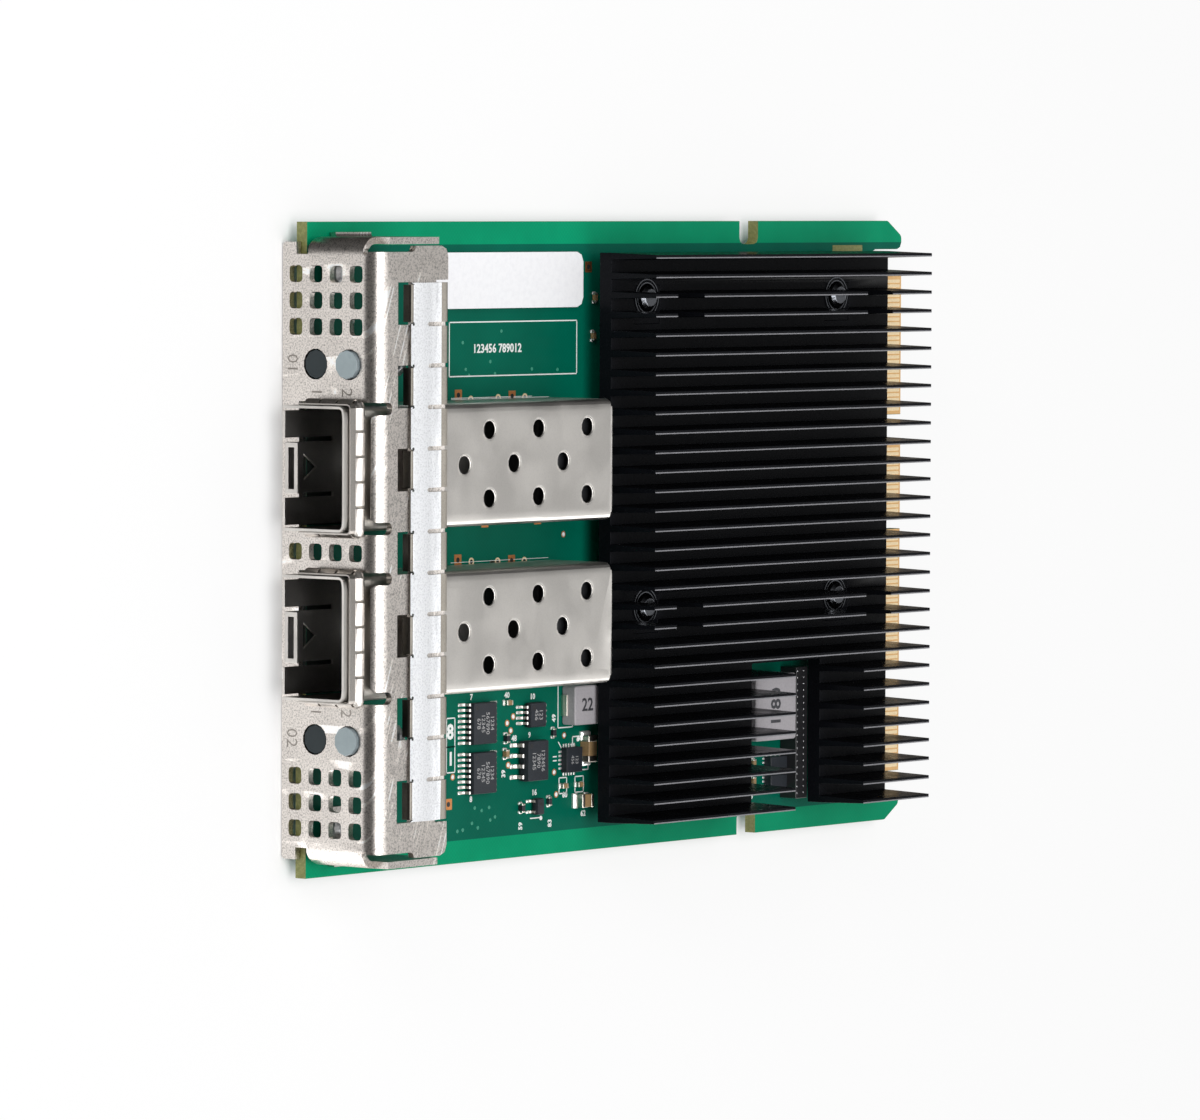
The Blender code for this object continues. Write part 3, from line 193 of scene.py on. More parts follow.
def new_group(name: str, outputs: Iterable[str], **inputs: object) -> tuple[Nodes, bpy.types.NodeOutputs]:
    """Start a shader node group that takes a Vector and the inputs given.

    Args:
        name: of the group.
        outputs: its outputs' names.  Colour is a colour, and any other is a value.
        inputs: each input's default, a colour of four numbers or a value.

    Returns:
        The group's nodes, and its inputs as sockets by name.
    """
    tree = bpy.data.node_groups.new(name, "ShaderNodeTree")
    tree.interface.new_socket(name="Vector", in_out="INPUT", socket_type="NodeSocketVector")
    for key, value in inputs.items():
        kind = "NodeSocketColor" if isinstance(value, tuple) else "NodeSocketFloat"
        made = tree.interface.new_socket(name=key.replace("_", " "), in_out="INPUT", socket_type=kind)
        made.default_value = value
    for key in outputs:
        kind = "NodeSocketColor" if key == "Colour" else "NodeSocketFloat"
        tree.interface.new_socket(name=key, in_out="OUTPUT", socket_type=kind)
    return Nodes(tree), tree.nodes.new("NodeGroupInput").outputs


class ShaderGroups:
    """The effects that several finishes share, each a node group built once."""

    def build(self) -> None:
        """Build every group."""
        self.plate_grain()
        self.moulded_speckle()
        self.laid_weave()

    def plate_grain(self) -> None:
        """Rolled and plated metal: fine pits, faint rolling lines, scratches and broad cloudy patches.

        Colour is the base darkened in pits and patches and lightened in
        scratches, Height is pits plus lines, and Roughness rises in the patches.
        """
        nodes, enter = new_group("plate_grain", FINISH_OUTPUTS, Base=GREY, Grain_Scale=4000.0, Grain=0.5,
                                 Lines=0.2, Cloud=0.2, Roughness=0.35, Speck=0.18, Scratch=0.0)
        point, speck = enter["Vector"], enter["Speck"]
        pits = nodes.noise(point, enter["Grain Scale"], 2.0, 0.6)
        lines = nodes.noise(nodes.add("Mapping", Vector=point, Scale=(1.0, 0.04, 0.04)), 6000.0, 3.0, 0.7)
        cloud = nodes.noise(point, 180.0, 3.0, 0.55)
        height = nodes.maths("ADD", nodes.maths("MULTIPLY", pits, enter["Grain"]),
                             nodes.maths("MULTIPLY", lines, enter["Lines"]))
        patch = nodes.maths("MULTIPLY", nodes.ranged(cloud, 0.35, 0.7), enter["Cloud"])
        pale = nodes.maths("SUBTRACT", 1.04, speck)
        light = nodes.maths("MULTIPLY_ADD", nodes.ranged(pits, 0.3, 0.55), speck, pale)
        across = nodes.add("Mapping", {"vector_type": "TEXTURE"}, Vector=point, Rotation=(0, 0, -0.35),
                           Scale=(40.0, 1.0, 40.0))
        cut = nodes.maths("MULTIPLY", nodes.ranged(nodes.noise(across, 2600.0, 0.0), 0.6, 0.66),
                          nodes.ranged(cloud, 0.5, 0.6))
        bright = nodes.maths("ADD", light, nodes.maths("MULTIPLY", cut, enter["Scratch"]))
        nodes.give(Colour=nodes.scaled(enter["Base"], nodes.maths("MULTIPLY_ADD", patch, -0.35, bright)),
                   Roughness=nodes.maths("MULTIPLY_ADD", patch, 0.35, enter["Roughness"]), Height=height)

    def moulded_speckle(self) -> None:
        """Moulded resin, ceramic or pressed powder: grains of a second colour where fine noise is high."""
        nodes, enter = new_group("moulded_speckle", FINISH_OUTPUTS, Base=GREY, Grain_Colour=GREY,
                                 Scale=5000.0, Amount=0.5, Roughness=0.5)
        fine = nodes.noise(enter["Vector"], enter["Scale"], 3.0, 0.7)
        amount = nodes.maths("MULTIPLY", nodes.ranged(fine, 0.42, 0.68), enter["Amount"])
        sway = nodes.ranged(nodes.noise(enter["Vector"], 350.0), 0.3, 0.7, -0.06, 0.06)
        nodes.give(Colour=nodes.mixed(amount, enter["Base"], enter["Grain Colour"]),
                   Roughness=nodes.maths("ADD", sway, enter["Roughness"]), Height=fine)

    def laid_weave(self) -> None:
        """Glass cloth under resin: the product of two crossed waves, broken up by noise."""
        nodes, enter = new_group("laid_weave", ("Height", "Mask"), Pitch=0.0005)
        turn = nodes.maths("DIVIDE", 2 * math.pi, enter["Pitch"])
        waves = [nodes.maths("SINE", nodes.maths("MULTIPLY", nodes.axis(enter["Vector"], axis), turn))
                 for axis in "XY"]
        height = nodes.maths("ADD", nodes.maths("MULTIPLY", *waves), nodes.noise(enter["Vector"], 900.0, 3.0))
        nodes.give(Height=height, Mask=nodes.ranged(height, 0.0, 1.4))


# Finishes


def new_material(name: str) -> tuple[Material, Nodes, bpy.types.NodeInputs]:
    """Start a material with one Principled shader.

    Args:
        name: of the material.

    Returns:
        The material, its nodes and its shader's inputs.
    """
    material = bpy.data.materials.new(name)
    material.use_nodes = True
    return material, Nodes(material.node_tree), material.node_tree.nodes["Principled BSDF"].inputs


@dataclass(frozen=True)
class Finish:
    """A named look of the card's pieces: colours, roughness and the depth of its bump in metres."""

    name: str
    colour: Colour
    roughness: float

    def grouped(self, group: str, fixed: dict[str, float], **inputs: object) -> Material:
        """Make a material from a shared group, with the finish's roughness and depth of bump.

        Args:
            group: the group's name.
            fixed: values of the shader's own inputs.
            inputs: values of the group's inputs.

        Returns:
            The material.
        """
        material, nodes, shader = new_material(self.name)
        made = nodes.add("Group", {"node_tree": bpy.data.node_groups[group]}, Base=(*self.colour, 1),
                         Vector=nodes.add("TexCoord", output="Object"), Roughness=self.roughness,
                         **inputs).node.outputs
        nodes.feed(shader["Base Color"], made["Colour"])
        nodes.feed(shader["Roughness"], made["Roughness"])
        for key, value in fixed.items():
            nodes.feed(shader[key], value)
        if self.depth:
            nodes.feed(shader["Normal"], nodes.bump(made["Height"], self.depth))
        return material


@dataclass(frozen=True)
class PlateFinish(Finish):
    """Sheet metal: a base colour under plate_grain."""

    grain: float = 0.5
    grain_scale: float = 5000.0
    lines: float = 0.2
    cloud: float = 0.2
    depth: float = 2e-6
    metallic: float = 1.0
    speck: float = 0.18
    scratch: float = 0.0

    def build(self) -> Material:
        """Return the material."""
        return self.grouped("plate_grain", {"Metallic": self.metallic}, Grain_Scale=self.grain_scale,
                            Grain=self.grain, Lines=self.lines, Cloud=self.cloud, Speck=self.speck,
                            Scratch=self.scratch)


@dataclass(frozen=True)
class MouldedFinish(Finish):
    """Resin, ceramic, powder, paper or tinted clear plastic: two colours under moulded_speckle."""

    grain_colour: Colour
    scale: float = 5000.0
    amount: float = 0.5
    depth: float = 1e-6
    specular: float = 0.5
    coat: float = 0.0

    def build(self) -> Material:
        """Return the material."""
        fixed = {"Specular IOR Level": self.specular, "Coat Weight": self.coat}
        return self.grouped("moulded_speckle", fixed, Grain_Colour=(*self.grain_colour, 1), Scale=self.scale,
                            Amount=self.amount)


@dataclass(frozen=True)
class MaskFinish(Finish):
    """Solder mask over copper and glass cloth, paler where the copper stops short of the long edges."""

    copper_colour: Colour
    half_width: float
    margin: float = 2.75 * MM
    weave_pitch: float = 0.55 * MM
    depth: float = 1.5e-6

    def build(self) -> Material:
        """Return the material."""
        material, nodes, shader = new_material(self.name)
        place = nodes.add("TexCoord", output="Object")
        start = self.half_width - self.margin
        edge = nodes.ranged(nodes.maths("ABSOLUTE", nodes.axis(place, "X")), start, start + 0.1 * MM,
                            curve="SMOOTHSTEP")
        weave = nodes.add("Group", {"node_tree": bpy.data.node_groups["laid_weave"]}, Vector=place,
                          Pitch=self.weave_pitch).node.outputs
        haze = nodes.noise(place, 120.0, 3.0)
        shade = nodes.maths("MULTIPLY", nodes.ranged(haze, 0.3, 0.7, 0.9, 1.1),
                            nodes.ranged(weave["Mask"], 0.0, 1.0, 0.96, 1.05))
        tone = nodes.mixed(edge, (*self.copper_colour, 1), (*self.colour, 1))
        nodes.feed(shader["Base Color"], nodes.scaled(tone, shade))
        low, high = self.roughness - 0.04, self.roughness + 0.05
        nodes.feed(shader["Roughness"], nodes.ranged(haze, 0.3, 0.7, low, high))
        nodes.feed(shader["Specular IOR Level"], 0.08)
        nodes.feed(shader["Normal"], nodes.bump(weave["Height"], self.depth))
        return material


# Surfaces


@dataclass
class Shape:
    """A mesh in the making: points in card millimetres, faces, and each face's finish number."""

    points: np.ndarray
    faces: list
    finishes: list[int]

    @staticmethod
    def of(points: np.ndarray, faces: list) -> "Shape":
        """Return a shape whose faces all have finish 0."""
        return Shape(np.asarray(points, float).reshape(-1, 3), list(faces), [0] * len(faces))

    @staticmethod
    def join(shapes: Iterable["Shape"]) -> "Shape":
        """Return all the shapes as one, without welding them."""
        points, faces, finishes, start = [], [], [], 0
        for shape in shapes:
            points.append(shape.points)
            faces += [tuple(int(i) + start for i in face) for face in shape.faces]
            finishes += shape.finishes
            start += len(shape.points)
        return Shape(np.concatenate(points), faces, finishes)

    def at(self, x: float = 0.0, y: float = 0.0, z: float = 0.0) -> "Shape":
        """Return the shape moved by that much."""
        return Shape(self.points + (x, y, z), self.faces, self.finishes)

    def turned(self, degrees: float) -> "Shape":
        """Return the shape turned about Z."""
        turn = np.array(Matrix.Rotation(math.radians(degrees), 3, "Z"))
        return Shape(self.points @ turn.T, self.faces, self.finishes)

    def finished(self, finish: int) -> "Shape":
        """Return the shape with every face given one finish."""
        return Shape(self.points, self.faces, [finish] * len(self.faces))

    def spread(self, places: Iterable) -> "Shape":
        """Return copies of the shape at several places, as one shape."""
        return Shape.join(self.at(*place) for place in places)


def ring_faces(rings: int, sides: int, capped: bool = True) -> list:
    """Quads between closed rings of points, counted ring by ring.

    Args:
        rings: how many rings.
        sides: points in a ring, anticlockwise seen from the last ring.
        capped: whether both ends are closed.  If not, the last ring joins the first.

    Returns:
        Faces that point out.
    """
    u, v = np.meshgrid(np.arange(rings - int(capped)), np.arange(sides), indexing="ij")
    near, far, side = u * sides, (u + 1) % rings * sides, (v + 1) % sides
    quads = np.stack([near + v, near + side, far + side, far + v], axis=-1).reshape(-1, 4).tolist()
    caps = [tuple(range(sides - 1, -1, -1)), tuple(range((rings - 1) * sides, rings * sides))]
    return quads + (caps if capped else [])


def rounded_rectangle(length: float, width: float, radius: float, steps: int = 3) -> np.ndarray:
    """The outline of a rectangle with round corners, anticlockwise, centred.

    Each point is its corner's centre plus the radius times (cos a, sin a).

    Args:
        length: along X.
        width: along Y.
        radius: of the corners.
        steps: points in each corner.

    Returns:
        The (n, 2) outline.
    """
    radius = min(radius, length / 2 - 1e-4, width / 2 - 1e-4)
    angle = np.linspace(0, math.pi / 2, steps)[None, :] + np.arange(4)[:, None] * math.pi / 2
    centre = np.array([(1, 1), (-1, 1), (-1, -1), (1, -1)]) * (length / 2 - radius, width / 2 - radius)
    return (centre[:, None, :] + radius * np.stack([np.cos(angle), np.sin(angle)], axis=-1)).reshape(-1, 2)


def disc_outline(radius: float, sides: int = 20) -> np.ndarray:
    """A circle of the radius: (cos a, sin a) at even angles."""
    angle = np.arange(sides) * 2 * math.pi / sides
    return radius * np.stack([np.cos(angle), np.sin(angle)], axis=-1)


def stacked(outlines: list[np.ndarray], heights: Iterable[float], capped: bool = True) -> Shape:
    """A solid through outlines at heights: each ring is its outline with its height as Z.

    Args:
        outlines: of equal count.
        heights: one for each.
        capped: whether both ends are closed; if not, the last outline joins the first.

    Returns:
        The solid.
    """
    rings = [np.column_stack([line, np.full(len(line), z)]) for line, z in zip(outlines, heights)]
    return Shape.of(np.stack(rings), ring_faces(len(rings), len(outlines[0]), capped))


def disc(radius: float, low: float, high: float, sides: int = 20) -> Shape:
    """A flat round plate."""
    return stacked([disc_outline(radius, sides)] * 2, (low, high))


def tile(length: float, width: float, low: float, high: float, radius: float = 0.1, edge: float = 0.0,
         steps: int = 3) -> Shape:
    """A flat block: its top ring is the outline of a rectangle smaller by the bevel on each side.

    Args:
        length: along X.
        width: along Y.
        low: of its underside.
        high: of its top.
        radius: of its corners.
        edge: of the bevel round its top.
        steps: points in each corner.

    Returns:
        The block.
    """
    full = rounded_rectangle(length, width, radius, steps)
    if not edge:
        return stacked([full, full], (low, high))
    lean = rounded_rectangle(length - 2 * edge, width - 2 * edge, max(radius - edge, 0.01), steps)
    return stacked([full, full, lean], (low, high - edge, high))


def lathed(profile: list[Place], sides: int = 16) -> Shape:
    """A turned solid: point (r, z) of the profile, from its foot up, goes round Z."""
    return stacked([disc_outline(r, sides) for r, _ in profile], [z for _, z in profile])


def ring_plate(inner: float, outer: float, low: float, high: float, sides: int = 20,
               lean: float = 0.0) -> Shape:
    """A flat ring: four circles joined in a closed loop, the upper inner one wider by the lean."""
    loops = [disc_outline(radius, sides) for radius in (inner, outer, outer, inner + lean)]
    return stacked(loops, (low, low, high, high), capped=False)


def strip_along(path: np.ndarray, thickness: float, width: float) -> Shape:
    """A bent strip: each path point gives four corners, offset by half the sheet and half the width.

    Args:
        path: (n, 2) points of the strip's middle, as (distance, height).
        thickness: of the sheet.
        width: of the strip, along X.

    Returns:
        The strip, with distance along Y.
    """
    step = np.gradient(path, axis=0)
    normal = np.column_stack([-step[:, 1], step[:, 0]]) / np.linalg.norm(step, axis=1)[:, None]
    low, high = path - normal * thickness / 2, path + normal * thickness / 2
    half = np.full(len(path), width / 2)
    corners = np.stack([np.column_stack([half, low]), np.column_stack([-half, low]),
                        np.column_stack([-half, high]), np.column_stack([half, high])], axis=1)
    return Shape.of(corners, ring_faces(len(path), 4))


def rounded_path(points: list[Place], radius: float, steps: int = 4) -> np.ndarray:
    """A path whose corners are quadratic curves that start and end the radius away from the corner.

    Args:
        points: the path's ends and corners.
        radius: from a corner to its curve's ends.
        steps: points in each curve.

    Returns:
        The (n, 2) path.
    """
    p = np.array(points, float)
    out = [p[:1]]
    t = np.linspace(0, 1, steps)[:, None]
    for before, corner, after in zip(p, p[1:], p[2:]):
        a, b = (corner + way / np.linalg.norm(way) * min(radius, np.linalg.norm(way) / 2)
                for way in (before - corner, after - corner))
        out.append((1 - t) ** 2 * a + 2 * t * (1 - t) * corner + t ** 2 * b)
    out.append(p[-1:])
    return np.concatenate(out)


def stroke(start: Place, end: Place, width: float, low: float, high: float) -> Shape:
    """A straight printed line: a tile as long as the way from start to end, turned onto it."""
    a, b = np.array(start, float), np.array(end, float)
    length = float(np.linalg.norm(b - a))
    angle = math.degrees(math.atan2(*(b - a)[::-1]))
    return tile(length + width, width, low, high, width / 2, steps=2).turned(angle).at(*((a + b) / 2))


def array_of(items: bpy.types.bpy_prop_collection, name: str, width: int = 3) -> np.ndarray:
    """Return one property of a mesh's items as an array with a row for each item.

    Args:
        items: such as its vertices.
        name: of the property.
        width: numbers in it.

    Returns:
        The array: of whole numbers where the width is 1.
    """
    values = np.empty(len(items) * width, np.int32 if width == 1 else float)
    items.foreach_get(name, values)
    return values.reshape(-1, width) if width > 1 else values


def numerals(text: str, height: float, low: float, high: float, heading: Heading, bold: float = 0.0) -> Shape:
    """Plain numbers as raised shapes, centred, from Blender's own font.

    Args:
        text: digits and spaces.
        height: of the digits, in millimetres.
        low: of their underside.
        high: of their face.
        heading: which way they read.
        bold: how far the strokes are thickened, as a share of the height.

    Returns:
        The shape.
    """
    curve = bpy.data.curves.new("numerals", "FONT")
    curve.body = text
    curve.size = height / 0.69
    curve.align_x, curve.align_y = "CENTER", "CENTER"
    curve.resolution_u = 2
    curve.offset = bold * height
    curve.extrude = (high - low) / 2
    carrier = bpy.data.objects.new("numerals", curve)
    bpy.context.scene.collection.objects.link(carrier)
    mesh = bpy.data.meshes.new_from_object(carrier.evaluated_get(bpy.context.evaluated_depsgraph_get()))
    shape = Shape.of(array_of(mesh.vertices, "co"), [tuple(polygon.vertices) for polygon in mesh.polygons])
    bpy.data.objects.remove(carrier)
    bpy.data.curves.remove(curve)
    bpy.data.meshes.remove(mesh)
    return shape.turned(heading.value).at(z=(low + high) / 2)


# The bench


@dataclass
class Bench:
    """Turns shapes and CAD nodes into pieces that ride on the card.

    It holds the board's half width and length in millimetres, and the card's origin in metres.
    """

    frame: dict
    finishes: dict[str, Material] = field(default_factory=dict)
    contact_height: float = 0.06

    def __post_init__(self) -> None:
        """Read the card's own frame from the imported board."""
        low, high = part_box("circuit_board")
        self.half_width = high.x / MM
        self.length = (high.y - low.y) / MM
        self.origin = np.array([0.0, low.y, high.z - self.contact_height * MM])

    def card(self, points: np.ndarray) -> np.ndarray:
        """Return points given in metres in card millimetres."""
        return (np.asarray(points) - self.origin) / MM

    def box(self, node: str) -> tuple[np.ndarray, np.ndarray]:
        """Return a CAD node's lowest and highest corners in card millimetres."""
        low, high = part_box(node)
        return self.card(low), self.card(high)

    def stand(self, node: str) -> tuple[np.ndarray, np.ndarray, float]:
        """Return a CAD node's middle (x, y), its size and its top."""
        low, high = self.box(node)
        return (low[:2] + high[:2]) / 2, high - low, high[2]

    def placed(self, name: str, mesh: bpy.types.Mesh, finishes: list[str], numbers: Iterable[int],
               replaces: Iterable[str], smooth: float) -> Object:
        """Put a finished mesh on the card and report it.

        Args:
            name: of the piece.
            mesh: in metres.
            finishes: finish names.
            numbers: each face's place among them.
            replaces: the CAD nodes that it stands for.
            smooth: edges sharper than this many degrees stay sharp.

        Returns:
            The piece.
        """
        mesh.materials.clear()
        for finish in finishes:
            mesh.materials.append(self.finishes[finish])
        mesh.polygons.foreach_set("material_index", numbers)
        mesh.shade_smooth()
        mesh.set_sharp_from_angle(angle=math.radians(smooth))
        piece = bpy.data.objects.new(name, mesh)
        bpy.context.scene.collection.objects.link(piece)
        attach(piece, BODY)
        if replaces:
            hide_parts(*replaces)
        LOG.info("%s: %d faces, for %s", name, len(mesh.polygons), ", ".join(replaces) or "no node")
        return piece

    def piece(self, name: str, shape: Shape, finishes: list[str], slot: Slot,
              replaces: Iterable[str] = ()) -> Object:
        """Make a piece from a shape.

        Args:
            name: of the piece.
            shape: in card millimetres.
            finishes: the finishes that the shape's numbers count through.
            slot: of the record; not used.
            replaces: the CAD nodes that it stands for.

        Returns:
            The piece, with its place in its mesh.
        """
        mesh = bpy.data.meshes.new(name)
        mesh.from_pydata((self.origin + shape.points * MM).tolist(), [], shape.faces)
        return self.placed(name, mesh, finishes, shape.finishes, replaces, 30.0)

    def skin(self, node: str, finishes: list[str], slot: Slot, edge: float, smooth: float = 32.0,
             choose: Callable | None = None, reshape: Callable | None = None,
             cuts: tuple[int, Iterable[float]] = (1, ())) -> Object:
        """Make a dressed copy of a CAD node, welded, with its flat faces joined and its edges eased.

        Args:
            node: the CAD node that the copy stands for.
            finishes: finish names.
            slot: of the record; not used.
            edge: width of the eased edges in millimetres.
            smooth: edges sharper than this many degrees stay sharp.
            choose: gives each face's finish number from face centres and normals, in card millimetres.
            reshape: moves the points first, in card millimetres.
            cuts: an axis and the places along it where faces are cut first, so that the sheet can curve.

        Returns:
            The piece.
        """
        mesh = self.welded_copy(node, reshape, *cuts)
        numbers = np.zeros(len(mesh.polygons), np.int32)
        if choose:
            centres, normals = (array_of(mesh.polygons, name) for name in ("center", "normal"))
            numbers = choose(self.card(centres), normals).astype(np.int32)
        piece = self.placed(f"{node}_skin", mesh, finishes, numbers, [node], smooth)
        bevel = piece.modifiers.new("eased_edges", "BEVEL")
        bevel.width = edge * MM
        bevel.segments = 2
        bevel.limit_method = "ANGLE"
        bevel.angle_limit = math.radians(smooth)
        bevel.harden_normals = True
        bevel.use_clamp_overlap = True
        return piece

    def skins(self, *rows: tuple) -> None:
        """Skin nodes of one finish each: (node, finish, slot, edge), and where it isn't the usual, smooth."""
        for node, finish, slot, *sizes in rows:
            self.skin(node, [finish], slot, *sizes)

    def welded_copy(self, node: str, reshape: Callable | None, axis: int,
                    places: Iterable[float]) -> bpy.types.Mesh:
        """Copy a node's loose triangles, weld them and join coplanar faces.

        Args:
            node: the CAD node.
            reshape: moves the points, given and returned in card millimetres.
            axis: across which faces are cut before that.
            places: of those cuts.

        Returns:
            The copy.
        """
        mesh = bpy.data.meshes.new(f"{node}_skin")
        normal = Vector(np.eye(3)[axis])
        bm = bmesh.new()
        bm.from_mesh(self.frame["nodes"][node].data)
        bmesh.ops.remove_doubles(bm, verts=bm.verts, dist=2e-6)
        for place in places:
            bmesh.ops.bisect_plane(bm, geom=[*bm.verts, *bm.edges, *bm.faces], plane_no=normal,
                                   plane_co=normal * (self.origin[axis] + place * MM))
        if reshape:
            moved = self.origin + reshape(self.card(np.array([vertex.co for vertex in bm.verts]))) * MM
            for vertex, place in zip(bm.verts, moved):
                vertex.co = place
        bmesh.ops.dissolve_limit(bm, angle_limit=math.radians(0.5), verts=bm.verts, edges=bm.edges)
        bm.to_mesh(mesh)
        bm.free()
        return mesh


# The card's sub-assemblies


@dataclass
class Board:
    """The circuit board: laminate, solder mask, gold contacts, copper, vias and white print."""

    bench: Bench
    thickness: float = 1.57
    first_contact: float = 6.95
    pitch: float = 0.6
    run_margin: float = 0.4
    runs: tuple[int, ...] = (28, 14, 28, 14)
    key_notches: tuple[float, ...] = (3.7, 1.6, 4.0)
    contact_size: Place = (0.42, 4.3)
    contact_setback: float = 0.35
    copper_top: float = 0.025
    print_heights: Place = (0.0, 0.03)

    def build(self) -> None:
        """Make the board and everything printed or plated on it."""
        self.bench.skin("circuit_board", ["mask", "laminate"], Slot.MASK, edge=0.06, reshape=self.flatten,
                        choose=lambda middle, normal: np.abs(normal[:, 2]) < 0.7)
        self.contacts()
        self.copper()
        self.white_print()

    def flatten(self, points: np.ndarray) -> np.ndarray:
        """Return points with the contact blocks pressed flush, as separate contacts stand for them."""
        return np.column_stack([points[:, :2], np.clip(points[:, 2], -self.thickness, 0)])

    def contacts(self) -> None:
        """Gold edge contacts on both faces: contact i of a run is at its start plus (i + 1/2) pitches."""
        width, length = self.contact_size
        x = self.first_contact - self.bench.half_width
        middles, bare = [], []
        for count, gap in zip(self.runs, (*self.key_notches, 0)):
            run = count * self.pitch + 2 * self.run_margin
            bare.append(tile(run - 0.1, length + 0.6, 0.0, 0.012, 0.05).at(x + run / 2).finished(1))
            middles += (x + self.run_margin + (np.arange(count) + 0.5) * self.pitch).tolist()
            x += run + gap
        gold = tile(width, length, 0.0, 0.045, 0.1, 0.015).spread((middle,) for middle in middles)
        above = Shape.join([gold, *bare]).at(y=self.bench.length - self.contact_setback - length / 2)
        below = Shape(above.points * (1, 1, -1), [face[::-1] for face in above.faces], above.finishes)
        self.bench.piece("edge_contacts", Shape.join([above, below.at(z=-self.thickness)]), ["gold", "bare"],
                         Slot.MASK)

    def copper(self) -> None:
        """Bare copper: square test pads with a hole, ring vias, plugged and tented vias, and a bare strip."""
        top = self.copper_top
        pad = Shape.join([tile(1.3, 1.3, 0, top, 0.05, steps=2),
                          tile(0.62, 0.62, 0, top + 0.01, 0.31, steps=4).finished(1)])
        ring = Shape.join([ring_plate(0.28, 0.5, 0, top), disc(0.28, 0, 0.01).finished(1)])
        plug = Shape.join([ring_plate(0.24, 0.4, 0, top),
                           lathed([(0.26, 0), (0.26, 0.03), (0.12, 0.06)]).finished(1)])
        rng = np.random.default_rng(7)
        tented = np.column_stack([rng.uniform(-25, -19.2, 9), rng.uniform(22, 46, 9)]).tolist()
        tented += [(31.6, 30.6), (32.0, 31.9), (31.7, 33.3), (33.4, 30.1), (34.1, 28.4), (33.2, 33.5),
                   (32.9, 34.4), (34.0, 31.2), (34.2, 27.4), (29.3, 32.6)]
        for name, shape, finishes, places in (
                ("copper_pads", pad, ["copper", "shade"], [
                    (-17.5, 27.3), (-17.2, 37.3), (-32.5, 51.7), (2.0, 27.3), (2.4, 37.3), (30.9, 25.7),
                    (-2.35, 32.3), (-2.4, 42.2)]),
                ("ring_vias", ring, ["gold", "shade"], [
                    (-17.0, 34.7), (-17.0, 39.7), (2.45, 34.7), (2.55, 39.7), (-16.9, 29.6), (2.3, 29.8)]),
                ("plugged_vias", plug, ["copper", "print"], [
                    (-0.4, 47.1), (21.09, 37.71), (21.82, 36.58), (22.75, 37.27), (26.85, 36.8),
                    (28.19, 45.51), (23.85, 47.39), (30.9, 45.91), (27.7, 26.47)]),
                ("bare_strip", tile(0.9, 6.2, 0, 0.012, 0.05, steps=2), ["laminate"], [(-34.5, 103.6)]),
                ("tented_vias", lathed([(0.22, 0), (0.2, 0.015), (0.1, 0.02)], 12), ["mask_pale"], tented)):
            self.bench.piece(name, shape.spread(places), finishes, Slot.MASK)

    def white_print(self) -> None:
        """White print: boxes, pin marks and plain numbers beside the parts."""
        low, high = self.print_heights
        rear, left = Heading.TO_REAR, Heading.TO_LEFT_EDGE
        rows = [("7", 18.4, 29.88, rear), ("40", 18.5, 36.53, rear), ("10", 18.89, 41.35, rear),
                ("49", 21.66, 45.45, left), ("9", 23.49, 40.79, rear), ("48", 23.74, 37.9, rear),
                ("11", 26.58, 45.65, left), ("39", 27.84, 35.94, left), ("8", 30.56, 29.85, rear),
                ("16", 30.44, 41.74, rear), ("60", 31.06, 47.55, rear), ("62", 33.5, 51.08, rear),
                ("59", 34.3, 39.17, left), ("83", 34.28, 44.71, left), ("10", 27.9, 83.6, rear),
                ("33", 33.4, 84.2, rear)]
        marks = [numerals(text, 0.66, low, high, way, 0.04).at(x, y) for text, x, y, way in rows]
        for text, x, y, height, bold in (("123456 789012", -22.9, 34.5, 1.0, 0.03),
                                         ("1", 25.6, 26.1, 1.5, 0.05), ("8", 22.4, 26.0, 1.7, 0.05)):
            marks.append(numerals(text, height, low, high, rear, bold).at(x, y))
        lines = [((24.6, 46.3), (25.8, 47.2), 0.14), ((31.4, 41.0), (31.4, 42.7), 0.14),
                 ((33.5, 41.0), (33.5, 42.7), 0.14), ((-17.14, 26.0), (-17.14, 41.0), 0.07),
                 ((-17.0, 26.0), (-17.0, 44.2), 0.06), ((2.3, 26.0), (2.3, 44.2), 0.06)]
        for x0, x1, y0, y1 in ((-26.1, -19.7, 25.6, 49.5), (20.7, 24.1, 25.3, 26.85),
                               (24.1, 27.15, 25.3, 26.85), (28.95, 30.85, 46.45, 47.9),
                               (28.95, 30.85, 49.5, 51.1), (24.1, 28.2, 49.0, 52.0), (17.4, 22.9, 46.2, 49.0)):
            corners = [(x0, y0), (x1, y0), (x1, y1), (x0, y1)]
            lines += [(a, b, 0.14) for a, b in zip(corners, corners[1:] + corners[:1])]
        marks += [stroke(start, end, width, low, high) for start, end, width in lines]
        marks.append(disc(0.27, low, high, 16).spread([(24.46, 50.04), (33.56, 43.01)]))
        self.bench.piece("white_print", Shape.join(marks), ["print"], Slot.WHITE)


